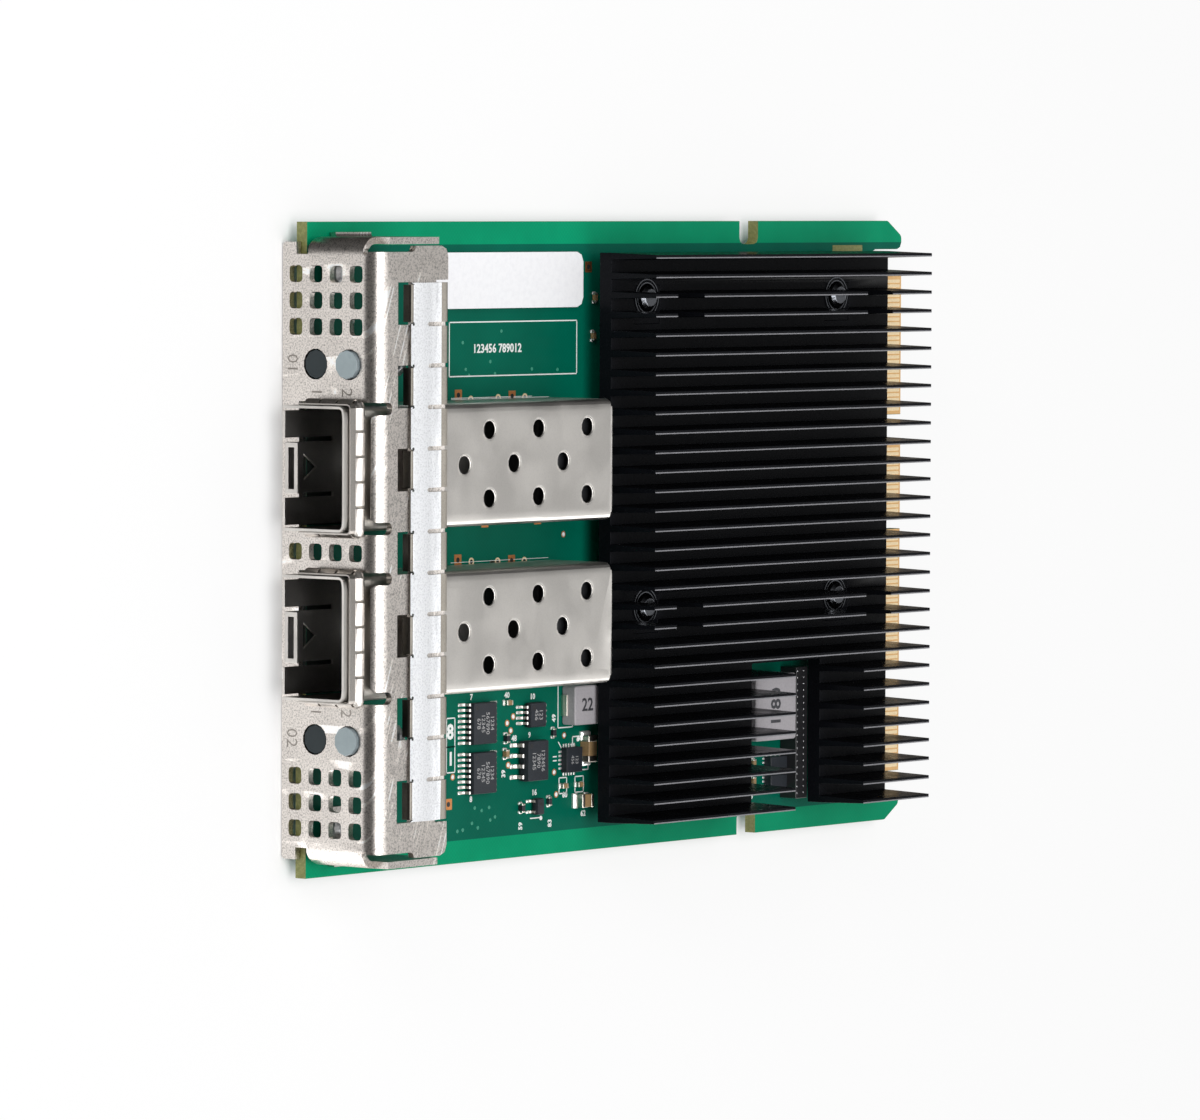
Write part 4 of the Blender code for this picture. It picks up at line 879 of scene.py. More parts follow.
@dataclass
class Faceplate:
    """The folded bracket, its stamped port numbers and its contact strip."""

    bench: Bench
    stamp_depth: float = 0.008
    light_x: float = 21.65
    strip_flat: Place = (4.9, 7.8)
    strip_rear: float = 12.2
    strip_bow: float = 0.2
    strip_slopes: tuple[Place, ...] = (
        (7.8, 0.0), (8.5, 0.11), (9.3, 0.11), (10.0, 0.03), (10.4, 0.0), (12.2, 0.0))
    # From this Y back, the strip's roll takes a darker tan finish: painted shade and board reflection.
    strip_painted_shade_from: float = 10.2
    finger_pitch: float = 4.78

    def build(self) -> None:
        """Dress the bracket and the strip, and stamp the numbers."""
        bench = self.bench
        bench.skin("io_bracket", ["nickel"], Slot.NICKEL, edge=0.09)
        # The strip's rolled rear and its front hooks take darker copies of the tin: painted shade, with the
        # board's reflection on the roll.
        bench.skin("emi_finger_strip", ["tin", "tin_roll_painted_shade", "hook_painted_shade"], Slot.TIN, edge=0.03, reshape=self.bowed,
                   choose=self.strip_finish, cuts=(1, np.arange(6.0, 11.4, 0.3)))
        _, size, top = bench.stand("emi_finger_strip")
        path = rounded_path([(7.0, top - 0.3), (9.3, top - 0.3), (10.3, top - 0.41), (11.8, top - 0.74),
                             (11.9, top - 1.4)], 0.4, 5)
        lip = strip_along(path, 0.06, size[0] - 0.3)
        lip = Shape(self.bowed(lip.points), lip.faces, lip.finishes)
        bench.piece("panel_lip", lip, ["nickel"], Slot.NICKEL)
        fingers = round(size[0] / self.finger_pitch)
        holes = disc(0.17, top + 0.02, top + 0.05, 14).spread(
            ((k - fingers / 2) * self.finger_pitch, self.strip_flat[0] + 0.2) for k in range(1, fingers))
        bench.piece("strip_holes", holes, ["shade"], Slot.TIN)
        stamps = []
        for side, text in ((-1, "01"), (1, "02")):
            for mark, inward, z in ((text, 0.0, -1.35), ("1", 3.2, 2.3), ("2", 3.2, 6.9)):
                stamps.append(self.stamp(mark, side * (self.light_x - inward), z))
        front = bench.box("io_bracket")[0][1]
        bench.piece("stamped_numbers", Shape.join(stamps).at(y=front), ["stamp"], Slot.NICKEL)
        bench.skins(*((f"bracket_screw_{number}", "screw_bright", Slot.SCREW, 0.06) for number in (1, 2)))

    def bowed(self, points: np.ndarray) -> np.ndarray:
        """Bow the strip's flat and curve its fingers down further.

        The rise is the bow times sin(t pi / 2) of the way along the flat, less
        the running sum of a slope that is read off the knots.

        Args:
            points: in card millimetres.

        Returns:
            The moved points.
        """
        front, bend = self.strip_flat
        way = np.clip((points[:, 1] - front) / (bend - front), 0, 1)
        grid = np.linspace(bend, self.strip_rear, 60)
        drop = np.cumsum(np.interp(grid, *zip(*self.strip_slopes))) * (grid[1] - grid[0])
        rise = self.strip_bow * np.sin(way * math.pi / 2) - np.interp(points[:, 1], grid, drop, left=0)
        return np.column_stack([points[:, :2], points[:, 2] + rise])

    def strip_finish(self, middle: np.ndarray, normal: np.ndarray) -> np.ndarray:
        """Return 1 for the strip's rolled rear, whose darker tan is painted shade and board reflection, and 2
        for the hooks at its front, whose dark finish is painted shade, from centres and normals.
        """
        hook_painted_shade = (middle[:, 1] < self.strip_flat[0] + 0.4) & (normal[:, 2] < 0.97)
        return np.where(hook_painted_shade, 2, middle[:, 1] > self.strip_painted_shade_from)

    def stamp(self, text: str, x: float, z: float) -> Shape:
        """Return one number upright on the faceplate: (x, y, z) of flat print goes to (x, -z, y)."""
        flat = numerals(text, 1.6, 0.0, self.stamp_depth, Heading.TO_RIGHT_EDGE, -0.01)
        return Shape(flat.points[:, [0, 2, 1]] * (1, -1, 1), flat.faces, flat.finishes).at(x=x, z=z)


@dataclass
class Port:
    """One transceiver port: cage, floor, spring collar, host connector, light pipes and lights."""

    bench: Bench
    number: int
    crown_reach: float = 1.6
    crown_drop: float = 0.27
    first_vent: float = 17.05
    vent_step: float = 9.1

    def __post_init__(self) -> None:
        """Read the cage's place."""
        self.low, self.high = self.bench.box(f"sfp_cage_{self.number}")
        self.middle, self.half = (self.low[0] + self.high[0]) / 2, (self.high[0] - self.low[0]) / 2
        self.top = self.high[2]

    def painted_shade_faces(self, centre: np.ndarray, normal: np.ndarray) -> np.ndarray:
        """Tell which faces look into the cage; they take a dark finish, painted shade.

        Args:
            centre: of each face.
            normal: of each face.

        Returns:
            True for a wall that faces the middle, and for the roof's underside.
        """
        away = np.abs(centre[:, 0] - self.middle)
        toward = np.abs(centre[:, 0] + normal[:, 0] - self.middle) < away
        wall = (np.abs(normal[:, 0]) > 0.7) & toward & (away < self.half - 0.2)
        return wall | (normal[:, 2] < -0.7) & (centre[:, 2] < self.top - 0.2) & (away < self.half - 0.4)

    def crowned(self, points: np.ndarray) -> np.ndarray:
        """Lower the top towards both long edges by drop t^2, t being the way through the last reach."""
        way = np.clip((np.abs(points[:, 0] - self.middle) - self.half) / self.crown_reach + 1, 0, 1)
        drop = np.where(points[:, 2] > self.top - 0.7, self.crown_drop * way ** 2, 0)
        return np.column_stack([points[:, :2], points[:, 2] - drop])

    def build(self) -> None:
        """Dress the port's pieces."""
        bench, number, middle, half, rear = self.bench, self.number, self.middle, self.half, self.high[1]
        steps = half - self.crown_reach * np.arange(0.25, 1.1, 0.15)
        # The cage's inward walls and the underside of its roof take a dark finish: painted shade.
        bench.skin(f"sfp_cage_{number}", ["cage", "cage_painted_shade"], Slot.CAGE, edge=0.1, choose=self.painted_shade_faces,
                   reshape=self.crowned, cuts=(0, [*(middle - steps), *(middle + steps)]))
        rims = ring_plate(1.06, 1.34, self.top - 0.1, self.top + 0.02, 28, 0.23).spread(
            (middle + x, self.first_vent + self.vent_step * (k + (x != 0) / 2))
            for x in (-4.0, 0.0, 4.0) for k in range(3))
        bench.piece(f"vent_rims_{number}", rims, ["cage"], Slot.CAGE)
        under = Shape.join([tile(2 * half - 0.8, rear - 0.1, 0.0, 0.02, 0.1).at(middle, rear / 2),
                            tile(2 * half - 0.8, 0.02, -1.57, 0.0, 0.005).at(middle, -0.02)])
        bench.piece(f"cage_shadow_{number}", under, ["shade"], Slot.MASK)
        # The link pipe's sides take a darker copy of its lens finish: painted shade.
        bench.skin(f"light_pipe_link_{number}", ["lens_pale", "lens_side_painted_shade"], Slot.LENS, edge=0.12, smooth=40,
                   choose=lambda centre, normal: np.abs(normal[:, 1]) < 0.7)
        bench.skins((f"cage_base_{number}", "cage", Slot.CAGE, 0.04),
                    (f"cage_spring_collar_{number}", "collar", Slot.TIN, 0.03),
                    (f"port_connector_{number}", "plastic", Slot.PLASTIC, 0.08),
                    (f"light_pipe_activity_{number}", "lens_dark", Slot.LENS, 0.06, 40),
                    (f"light_pipe_holder_{number}", "plastic", Slot.PLASTIC, 0.1),
                    (f"status_light_activity_{number}", "label", Slot.WHITE, 0.08),
                    (f"status_light_link_{number}", "label", Slot.WHITE, 0.08))


@dataclass
class Cooler:
    """The heat sink, its screws and spacers, and the controller with its thermal pad."""

    bench: Bench
    base_top: float = 4.5

    def build(self) -> None:
        """Dress the pieces of the cooler."""
        bench = self.bench
        sink = bench.skin("heat_sink", ["anodised"], Slot.ANODISED, edge=0.09)
        self.fin_highlight_lines(sink.data)
        for number in range(1, 5):
            bench.skins((f"heat_sink_screw_{number}", "screw_dark", Slot.SCREW, 0.12, 40),
                        (f"heat_sink_spacer_{number}", "screw_bright", Slot.SCREW, 0.06, 40))
        # Thin metal rings round each screw pocket stand for the pocket rim's shine: painted highlight.
        ring = Shape.join(ring_plate(inner, inner + 0.12, self.base_top, self.base_top + 0.04, 36)
                          for inner in (1.75, 2.15))
        rings = ring.spread(bench.stand(f"heat_sink_screw_{number}")[0] for number in range(1, 5))
        bench.piece("screw_rim_painted_highlight", rings, ["screw_dark"], Slot.ANODISED)
        bench.skins(("controller_chip", "resin", Slot.PLASTIC, 0.1), ("thermal_pad", "pad", Slot.PAD, 0.08))

    def fin_highlight_lines(self, mesh: bpy.types.Mesh) -> None:
        """Lay a thin line of painted highlight along the +X edge of every fin tip, a face with all its corners
        at the top.
        """
        top = self.bench.stand("heat_sink")[2]
        corners = self.bench.card(array_of(mesh.vertices, "co"))[array_of(mesh.loops, "vertex_index", 1)]
        starts = array_of(mesh.polygons, "loop_start", 1)
        low, high = np.minimum.reduceat(corners, starts), np.maximum.reduceat(corners, starts)
        lines = [tile(0.14, y1 - y0 - 0.1, top - 0.02, top + 0.01, 0.03, steps=2).at(x - 0.06, (y0 + y1) / 2)
                 for (_, y0, z), (x, y1, _) in zip(low, high) if z > top - 0.1]
        self.bench.piece("fin_highlight_lines", Shape.join(lines), ["fin_tip_painted_highlight"], Slot.ANODISED)


@dataclass
class MouldedChip:
    """A moulded chip with gull-wing leads on its two long sides."""

    bench: Bench
    node: str
    pins: tuple[int, int]
    pitch: float
    body: Place
    mark: tuple[str, ...] = ()
    lead_width: float = 0.3
    sheet: float = 0.16
    gap: float = 0.2
    shoulder: float = 0.07
    mark_size: float = 0.62

    def build(self) -> None:
        """Make the body, its leads with solder, and its marking."""
        (x, y), size, top = self.bench.stand(self.node)
        length, width = self.body
        base, mid = self.gap + 0.1, (self.gap + 0.1 + top) / 2
        inner, outer, lean = (rounded_rectangle(length - inset, width - inset, radius) for inset, radius in (
            (2 * self.shoulder, 0.1), (0.0, 0.14), (3.2 * self.shoulder, 0.08)))
        body = stacked([inner, outer, outer, inner, lean], (base, mid - 0.06, mid + 0.06, top - 0.05, top))
        dimple = lathed([(0.3, top - 0.01), (0.3, top + 0.006), (0.22, top + 0.002)])
        dimple = dimple.finished(1).at(0.65 - length / 2, 0.65 - width / 2)
        self.bench.piece(f"{self.node}_body", Shape.join([body, dimple]).at(x, y), ["resin", "resin_dark"],
                         Slot.PLASTIC, [self.node])
        lead = self.lead(size[1], width, mid)
        leads = []
        for turn, count in zip((0, 180), self.pins):
            pitch = self.pitch * (1 if count > 2 else sum(self.pins) / 2 - 0.5)
            leads += [lead.turned(turn).at(x + (k - (count - 1) / 2) * pitch, y) for k in range(count)]
        self.bench.piece(f"{self.node}_leads", Shape.join(leads), ["lead", "tin_solder"], Slot.TIN)
        if self.mark:
            marking(self.bench, f"{self.node}_marking", self.mark, self.mark_size, (x, y, top))

    def lead(self, span: float, width: float, mid: float) -> Shape:
        """Bend one lead and add its solder fillet.

        Args:
            span: of the chip over its leads.
            width: of its body.
            mid: height at which leads leave it.

        Returns:
            The lead on the +Y side.
        """
        foot = 0.33 * (span - width)
        bend, rest = span / 2 - foot, self.gap * 0.3 + self.sheet / 2
        path = rounded_path([(width / 2 - 0.15, mid), (bend - 0.22, mid), (bend, rest), (span / 2, rest)],
                            0.16)
        fillet = tile(self.lead_width * 1.25, foot + 0.62, 0.0, 0.13, 0.12, 0.08)
        return Shape.join([strip_along(path, self.sheet, self.lead_width),
                           fillet.at(0, span / 2 - foot / 2 + 0.1).finished(1)])


def marking(bench: Bench, name: str, rows: tuple[str, ...], size: float, place: tuple,
            gap: float = 1.35) -> None:
    """Print rows of plain numbers on a chip.

    Args:
        bench: that makes the piece.
        name: of the piece.
        rows: from the top.
        size: height of the digits.
        place: x, y and z of the middle.
        gap: between rows, in digit heights.
    """
    x, y, z = place
    shapes = [numerals(text, size, z, z + 0.006, Heading.TO_RIGHT_EDGE).at(
        x, y + (len(rows) / 2 - 0.5 - k) * gap * size) for k, text in enumerate(rows)]
    bench.piece(name, Shape.join(shapes), ["marking"], Slot.PLASTIC)


@dataclass
class ChipCapacitor:
    """A chip capacitor or resistor: ceramic body, tinned ends and solder fillets on its pads."""

    bench: Bench
    name: str
    middle: Place
    size: tuple[float, float, float]
    along_x: bool
    core: str = "ceramic"
    replaces: tuple[str, ...] = ()
    gap: float = 0.06

    def build(self) -> None:
        """Make the part along Y, and turn it if it lies along X."""
        length, width, height = self.size
        cap, low, high = 0.24 * length, self.gap, self.gap + height
        shapes = [tile(width * 0.95, length * 0.9, low + 0.02, high - 0.02 * height, 0.06, 0.04)]
        end = tile(width, cap, low, high, 0.08, 0.06)
        solder = tile(width * 1.15, cap * 1.5, 0, low + 0.32 * height, 0.12, 0.16 * height)
        for s in (-1, 1):
            shapes += [end.at(0, s * (length - cap) / 2).finished(1),
                       solder.at(0, s * (length / 2 - 0.1 * cap)).finished(2)]
        shape = Shape.join(shapes).turned(-90 if self.along_x else 0).at(*self.middle)
        self.bench.piece(self.name, shape, [self.core, "terminal", "tin_solder"], Slot.CERAMIC, self.replaces)


@dataclass
class SmallParts:
    """Everything soldered beside the cages and in the heat sink's notch."""

    bench: Bench

    def build(self) -> None:
        """Make the chips, inductors, capacitors and resistors."""
        narrow, wide = 0.65, 1.27
        for node, *sizes in (
                ("buffer_chip_1", (8, 8), narrow, (5.0, 4.4), ("1234", "567890", "12345", "678")),
                ("buffer_chip_2", (8, 8), narrow, (5.0, 4.4), ("1234", "567890", "12345", "678")),
                ("sensor_chip", (4, 4), narrow, (3.0, 3.0), ("123", "456")),
                ("memory_chip", (4, 4), wide, (4.9, 3.9), ("123456", "7890", "12345"), 0.42),
                ("gate_chip", (3, 2), narrow, (2.0, 1.3), (), 0.28)):
            MouldedChip(self.bench, node, *sizes).build()
        self.leadless_chip()
        self.inductors()
        self.regulators()
        self.capacitors()

    def leadless_chip(self) -> None:
        """The square leadless chip with bright pads round its foot."""
        (x, y), (side, _, _), top = self.bench.stand("power_switch_chip")
        body = tile(side, side, 0.05, top, 0.06, 0.04)
        row = tile(0.28, 0.75, 0, 0.09, 0.1, 0.05).spread(
            ((k - 2) * 0.5, side / 2 + 0.08) for k in range(5)).finished(1)
        shape = Shape.join([body, *(row.turned(90 * turn) for turn in range(4))]).at(x, y)
        self.bench.piece("power_switch_body", shape, ["resin", "tin_solder"], Slot.PLASTIC,
                         ["power_switch_chip"])
        marking(self.bench, "power_switch_marking", ("123", "456"), 0.5, (x, y, top), 1.6)

    def inductors(self) -> None:
        """Two pressed-powder inductors with broad tinned terminals and a printed number."""
        for node, text, size, way in (("inductor_1", "22", 1.5, Heading.TO_REAR),
                                      ("inductor_2", "1 80", 1.9, Heading.TO_LEFT_EDGE)):
            (x, y), (length, width, _), top = self.bench.stand(node)
            body = tile(length, width - 0.3, 0.12, top, 0.35, 0.14, 4)
            terminals = tile(length * 0.55, 0.9, 0, min(0.45 * top, 1.3), 0.1, 0.05).finished(1).spread(
                (0, s * (width / 2 - 0.42)) for s in (-1, 1))
            self.bench.piece(f"{node}_body", Shape.join([body, terminals]).at(x, y), ["powder", "terminal"],
                             Slot.FERRITE, [node])
            self.bench.piece(f"{node}_number", numerals(text, size, top, top + 0.01, way, 0.03).at(x, y),
                             ["ink"], Slot.FERRITE)

    def regulators(self) -> None:
        """Two small power chips in the notch with bright pads on all sides, and a dark block with a row of
        pins, painted shade over the notch's shadowed board.
        """
        for node in ("regulator_chip_1", "regulator_chip_2"):
            (x, y), (width, length, _), top = self.bench.stand(node)
            pads = tile(0.26, 0.6, 0, 0.1, 0.06, 0.04).spread(
                ((k - 1) * 0.5, s * length / 2) for s in (-1, 1) for k in range(3))
            edges = tile(0.45, 0.3, 0, 0.1, 0.06, 0.04).spread(
                (s * width / 2, (k - 2) * 0.9) for s in (-1, 1) for k in range(5))
            body = tile(width, length, 0.06, top, 0.08, 0.05)
            shape = Shape.join([body, pads.finished(1), edges.finished(1)])
            self.bench.piece(f"{node}_body", shape.at(x, y), ["resin", "tin_solder"], Slot.PLASTIC, [node])
        # A dark resin block with bright pins: painted shade where the board in the notch lies in shadow.
        row = tile(16.4, 2.3, 0.1, 2.55, 0.1, 0.05).at(25.7, 91.3)
        pins = tile(0.2, 0.18, 0, 2.58, 0.04, 0.02).spread(
            (18.0 + 0.8 * k, y) for k in range(20) for y in (90.4, 91.7)).finished(1)
        self.bench.piece("notch_painted_shade_block", Shape.join([row, pins]), ["resin_dark", "screw_bright"],
                         Slot.PLASTIC)

    def capacitors(self) -> None:
        """Chip capacitors and resistors: those of the CAD at its places, and tiny ones beside them."""
        for number in range(1, 9):
            node = f"capacitor_{number}"
            middle, size, top = self.bench.stand(node)
            ChipCapacitor(self.bench, f"{node}_part", middle, (max(size[:2]), min(size[:2]), top - 0.06),
                          bool(size[0] > size[1]), "resin" if number in (6, 8) else "ceramic",
                          (node,)).build()
        for number, (x, y, core) in enumerate((
                (31.6, 44.3, "resin"), (23.4, 45.1, "resin"), (-28.8, 52.7, "ceramic"),
                (-24.2, 52.4, "ceramic"), (29.3, 84.5, "ceramic"), (31.5, 84.5, "ceramic")), start=1):
            ChipCapacitor(self.bench, f"chip_part_{number}", (x, y), (1.1, 0.6, 0.45), True, core).build()


# Studio


@dataclass
class Studio:
    """The photograph's camera, a white floor, soft lamps and the bands of light that metal reflects.

    A band is its angle in degrees, its level and how much of its blue is left.
    """

    bench: Bench
    place: tuple[float, float, float] = (-42.278, -672.297, 583.481)
    right: tuple[float, float, float] = (-0.00408, 0.62625, 0.77940)
    forward: tuple[float, float, float] = (0.04848, 0.77862, -0.62536)
    focal_pixels: float = 7709.9
    sensor: float = 36.0
    world_level: float = 0.5
    floor_glow: float = 0.75
    side_level: float = 0.08
    right_level: float = 2.4
    bands: tuple[tuple[float, float, float], ...] = (
        (-180, 0.42, 0.86), (-140, 0.36, 0.86), (-60, 1.15, 1.0), (-33, 1.15, 1.0), (-27, 0.12, 1.0),
        (44, 0.03, 0.9), (56, 1.3, 1.0), (118, 1.3, 1.0), (131, 0.44, 1.0), (149, 0.42, 1.0), (157, 1.4, 1.0),
        (174, 1.4, 1.0), (180, 0.5, 0.9))

    def build(self) -> None:
        """Set up everything that isn't part of the card."""
        bpy.context.scene.view_settings.view_transform = "Standard"
        self.camera()
        self.floor()
        self.world()
        self.lamp("overhead", (0, -160, 620), (0, -20, 0), (620, 420), 2.8)
        self.lamp("front_left", (-420, -520, 300), (0, -30, 0), (260, 260), 0.8)

    def camera(self) -> None:
        """Aim the camera: its axes are the right, up and backward directions as columns."""
        right, forward = Vector(self.right).normalized(), Vector(self.forward).normalized()
        axes = Matrix((right, right.cross(forward), -forward)).transposed().to_4x4()
        axes.translation = Vector(self.bench.origin + np.array(self.place) * MM)
        data = bpy.data.cameras.new("photo_camera")
        data.sensor_fit = "HORIZONTAL"
        data.sensor_width = self.sensor
        data.lens = self.focal_pixels / PHOTO_WIDTH * self.sensor
        data.clip_start, data.clip_end = 0.01, 20.0
        camera = bpy.data.objects.new("photo_camera", data)
        camera.matrix_world = axes
        bpy.context.scene.collection.objects.link(camera)
        bpy.context.scene.camera = camera

    def floor(self) -> None:
        """A white floor that glows for camera rays round the card, and takes the card's shadow."""
        material, nodes, shader = new_material("floor_white")
        nodes.feed(shader["Base Color"], (0.9, 0.9, 0.9, 1))
        nodes.feed(shader["Roughness"], 0.9)
        nodes.feed(shader["Specular IOR Level"], 0.0)
        place = nodes.add("TexCoord", output="Object")
        sides = [nodes.ranged(nodes.maths("ABSOLUTE", nodes.axis(place, axis)), (reach - 2.5) * MM,
                              (reach + 1.5) * MM)
                 for axis, reach in (("X", self.bench.half_width), ("Y", self.bench.length / 2))]
        glow_here = nodes.maths("MULTIPLY", nodes.maths("MAXIMUM", *sides), self.floor_glow)
        seen = nodes.add("LightPath", output="Is Camera Ray")
        mix = nodes.add("MixShader", Fac=nodes.maths("MULTIPLY", seen, glow_here),
                        i1=nodes.tree.nodes["Principled BSDF"].outputs["BSDF"],
                        i2=nodes.add("Emission", Color=(1, 1, 1, 1), Strength=1.0))
        nodes.feed(nodes.tree.nodes["Material Output"].inputs["Surface"], mix)
        mesh = bpy.data.meshes.new("floor")
        corners = [(-4, -4, -2e-4), (4, -4, -2e-4), (4, 4, -2e-4), (-4, 4, -2e-4)]
        mesh.from_pydata(corners, [], [(0, 1, 2, 3)])
        mesh.materials.append(material)
        floor = bpy.data.objects.new("floor", mesh)
        bpy.context.scene.collection.objects.link(floor)
        floor.visible_glossy = False

    def world(self) -> None:
        """A plain world: white where the camera sees it, and a studio's light and dark bands in reflections.

        A reflection's level follows its angle in the YZ plane, from the front up
        and over to the rear, with a tint; it falls towards the card's -X side and rises to +X.
        """
        world = bpy.data.worlds.new("studio")
        bpy.context.scene.world = world
        world.use_nodes = True
        nodes = Nodes(world.node_tree)
        way = nodes.add("TexCoord", output="Generated")
        back = nodes.maths("MULTIPLY", nodes.axis(way, "Y"), -1.0)
        angle = nodes.maths("ARCTAN2", nodes.axis(way, "Z"), back)
        tint = nodes.add("ValToRGB", Fac=nodes.ranged(angle, -math.pi, math.pi))
        elements = tint.node.color_ramp.elements
        for degrees, _, _ in self.bands[1:-1]:
            elements.new((degrees + 180) / 360)
        for element, (degrees, level, cool) in zip(elements, self.bands):
            element.position = (degrees + 180) / 360
            element.color = (level, level * (0.5 + 0.5 * cool), level * cool, 1)
        across = nodes.axis(way, "X")
        side = nodes.maths("MULTIPLY", nodes.ranged(across, -0.3, 0.0, self.side_level, 1.0, "SMOOTHSTEP"),
                           nodes.ranged(across, 0.12, 0.4, 1.0, self.right_level, "SMOOTHSTEP"))
        bounced = nodes.maths("MAXIMUM", nodes.add("LightPath", output="Is Glossy Ray"),
                              nodes.add("LightPath", output="Is Transmission Ray"))
        level = nodes.mixed(bounced, (*[self.world_level] * 3, 1), nodes.scaled(tint, side))
        seen = nodes.add("VectorMath", {"operation": "MAXIMUM"}, i0=level,
                         i1=nodes.add("LightPath", output="Is Camera Ray"))
        nodes.feed(nodes.tree.nodes["Background"].inputs["Color"], seen)

    def lamp(self, name: str, place: tuple, target: tuple, size: Place, power: float) -> None:
        """Add a soft rectangular lamp.

        Args:
            name: of the lamp.
            place: in card millimetres.
            target: that it faces.
            size: of its face in millimetres.
            power: in watts.
        """
        data = bpy.data.lights.new(name, "AREA")
        data.shape = "RECTANGLE"
        data.size, data.size_y = size[0] * MM, size[1] * MM
        data.energy = power
        lamp = bpy.data.objects.new(name, data)
        start, aim = (Vector(self.bench.origin + np.array(point) * MM) for point in (place, target))
        turn = (aim - start).to_track_quat("-Z", "Y").to_matrix().to_4x4()
        lamp.matrix_world = Matrix.Translation(start) @ turn
        bpy.context.scene.collection.objects.link(lamp)


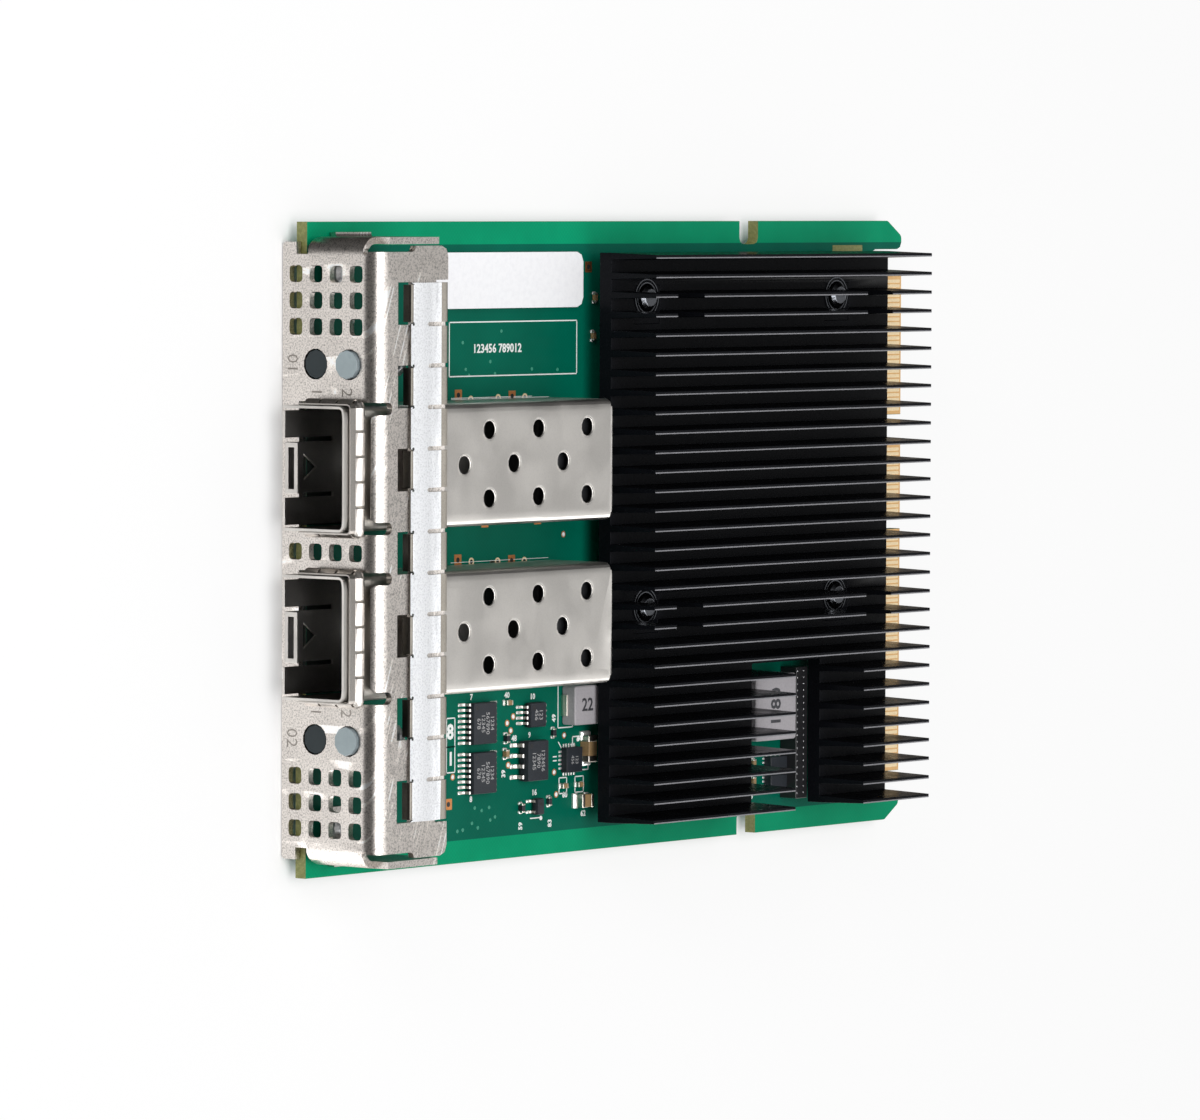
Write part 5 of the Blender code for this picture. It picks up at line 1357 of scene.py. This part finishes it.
def card_finishes(half_width: float) -> list[Finish]:
    """Return every finish of the card; half_width is of the board, in metres."""
    return [
        MaskFinish("mask", (0.0, 0.285, 0.135), 0.32, (0.0, 0.115, 0.072), half_width),
        MouldedFinish("mask_pale", (0.03, 0.26, 0.17), 0.3, (0.06, 0.33, 0.22), amount=0.4),
        MouldedFinish("laminate", (0.19, 0.2, 0.06), 0.5, (0.32, 0.33, 0.12), 2500, 0.7),
        MouldedFinish("print", (0.85, 0.87, 0.86), 0.5, (0.7, 0.74, 0.72), 3000, 0.3),
        MouldedFinish("label", (0.93, 0.93, 0.95), 0.4, (0.8, 0.8, 0.83), 1500, 0.4),
        MouldedFinish("film", (0.03, 0.03, 0.035), 0.35, (0.06, 0.06, 0.07), 1500, 0.4),
        MouldedFinish("resin", (0.014, 0.017, 0.022), 0.48, (0.038, 0.043, 0.052), 9000, 0.5, 2e-6, 0.35),
        MouldedFinish("resin_dark", (0.015, 0.015, 0.017), 0.3, (0.03, 0.03, 0.03), 9000, 0.4),
        MouldedFinish("plastic", (0.018, 0.018, 0.02), 0.42, (0.035, 0.035, 0.038), 2500, 0.4),
        MouldedFinish("marking", (0.42, 0.42, 0.42), 0.6, (0.25, 0.25, 0.26), 9000, 0.6),
        MouldedFinish("ink", (0.03, 0.03, 0.035), 0.5, (0.08, 0.08, 0.09), 4000),
        MouldedFinish("powder", (0.42, 0.4, 0.42), 0.5, (0.31, 0.29, 0.31), 4500, depth=3e-6),
        MouldedFinish("ceramic", (0.3, 0.19, 0.09), 0.35, (0.4, 0.28, 0.15), 6000),
        MouldedFinish("pad", (0.3, 0.32, 0.36), 0.8, (0.36, 0.38, 0.42), 2500),
        MouldedFinish("shade", (0.008, 0.012, 0.01), 0.6, (0.02, 0.025, 0.02), 2500, 0.4),
        MouldedFinish("anodised", (0.004, 0.0045, 0.006), 0.28, (0.008, 0.008, 0.011), 6000, 0.5, 1.5e-6, 0.06),
        MouldedFinish("bare", (0.72, 0.42, 0.16), 0.4, (0.8, 0.52, 0.24), 2500),
        MouldedFinish("lens_pale", (0.3, 0.36, 0.38), 0.3, (0.255, 0.306, 0.323), 900, 0.4, 0.0, 0.3, 0.2),
        # Painted shade: a darker copy of lens_pale for the sides of the link pipe.
        MouldedFinish("lens_side_painted_shade", (0.2, 0.24, 0.26), 0.3, (0.17, 0.204, 0.221), 900, 0.4, 0.0, 0.5, 0.6),
        MouldedFinish("lens_dark", (0.025, 0.034, 0.038), 0.18, (0.02125, 0.0289, 0.0323), 900, 0.4, 0.0, 0.2),
        PlateFinish("nickel", (0.75, 0.7, 0.655), 0.28, 0.8, 4800, 0.35, 0.2, 1.5e-5, speck=0.55, scratch=0.8),
        PlateFinish("stamp", (0.36, 0.33, 0.30), 0.5, 0.7, 5200, 0.3),
        PlateFinish("tin", (0.95, 0.965, 0.99), 0.28, 0.8, 4400, 0.1, 0.2, 7e-6, 0.55, speck=0.25),
        # Painted shade and board reflection: a darker tan copy of the tin for the strip's turned-down roll.
        PlateFinish("tin_roll_painted_shade", (0.34, 0.31, 0.265), 0.28, 0.6, 4400, 0.1, 0.2, 4e-6, speck=0.25),
        # Painted shade: a dark copy of the tin for the hooks at the strip's front.
        PlateFinish("hook_painted_shade", (0.13, 0.12, 0.105), 0.3, 0.4, 4400, 0.1),
        # Painted highlight: a pale metal line for the shine along each fin tip.
        PlateFinish("fin_tip_painted_highlight", (0.3, 0.3, 0.32), 0.35, 0.4, 4400, 0.4, metallic=0.8),
        PlateFinish("collar", (0.5, 0.47, 0.44), 0.28, 0.3, 5200, depth=1.5e-6),
        PlateFinish("cage", (0.665, 0.64, 0.605), 0.28, 0.25, 6000, 0.12, 0.45, 6e-7, speck=0.06),
        # Painted shade: a dark copy of the cage plate for the faces inside the cage.
        PlateFinish("cage_painted_shade", (0.07, 0.062, 0.055), 0.45, 0.3, 6000, 0.25, 0.3, 1.5e-6),
        PlateFinish("gold", (1.0, 0.8, 0.5), 0.32, 0.3, 6000, 0.3, 0.2, 1e-6, 0.4),
        PlateFinish("copper", (0.72, 0.3, 0.11), 0.4, 0.3, 6000, 0.2, 0.3, 1e-6),
        PlateFinish("lead", (0.75, 0.72, 0.68), 0.28, 0.2, 6000, 0.1, 0.1, 1e-6),
        PlateFinish("tin_solder", (0.9, 0.89, 0.87), 0.2, 0.4, 3000, 0.0, 0.2, 3e-6, 0.6),
        PlateFinish("terminal", (0.78, 0.72, 0.64), 0.3, 0.4, 6000, 0.1, 0.2, 1.5e-6),
        PlateFinish("screw_dark", (0.2, 0.21, 0.23), 0.2, 0.3, 6000, depth=1e-6),
        PlateFinish("screw_bright", (0.6, 0.6, 0.62), 0.3, 0.3, 6000, depth=1e-6),
    ]


def main() -> None:
    """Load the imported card, dress it and set up the studio."""
    logging.basicConfig(level=logging.INFO, format="%(name)s: %(message)s")
    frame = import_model()
    bench = Bench(frame)
    ShaderGroups().build()
    bench.finishes = {finish.name: finish.build() for finish in card_finishes(bench.half_width * MM)}
    parts = Board(bench), Faceplate(bench), Port(bench, 1), Port(bench, 2), Cooler(bench), SmallParts(bench)
    for part in parts:
        part.build()
    bench.skins(("board_label", "label", Slot.WHITE, 0.02), ("insulator_film", "film", Slot.PLASTIC, 0.03))
    Studio(bench).build()


if __name__ == "__main__":
    main()
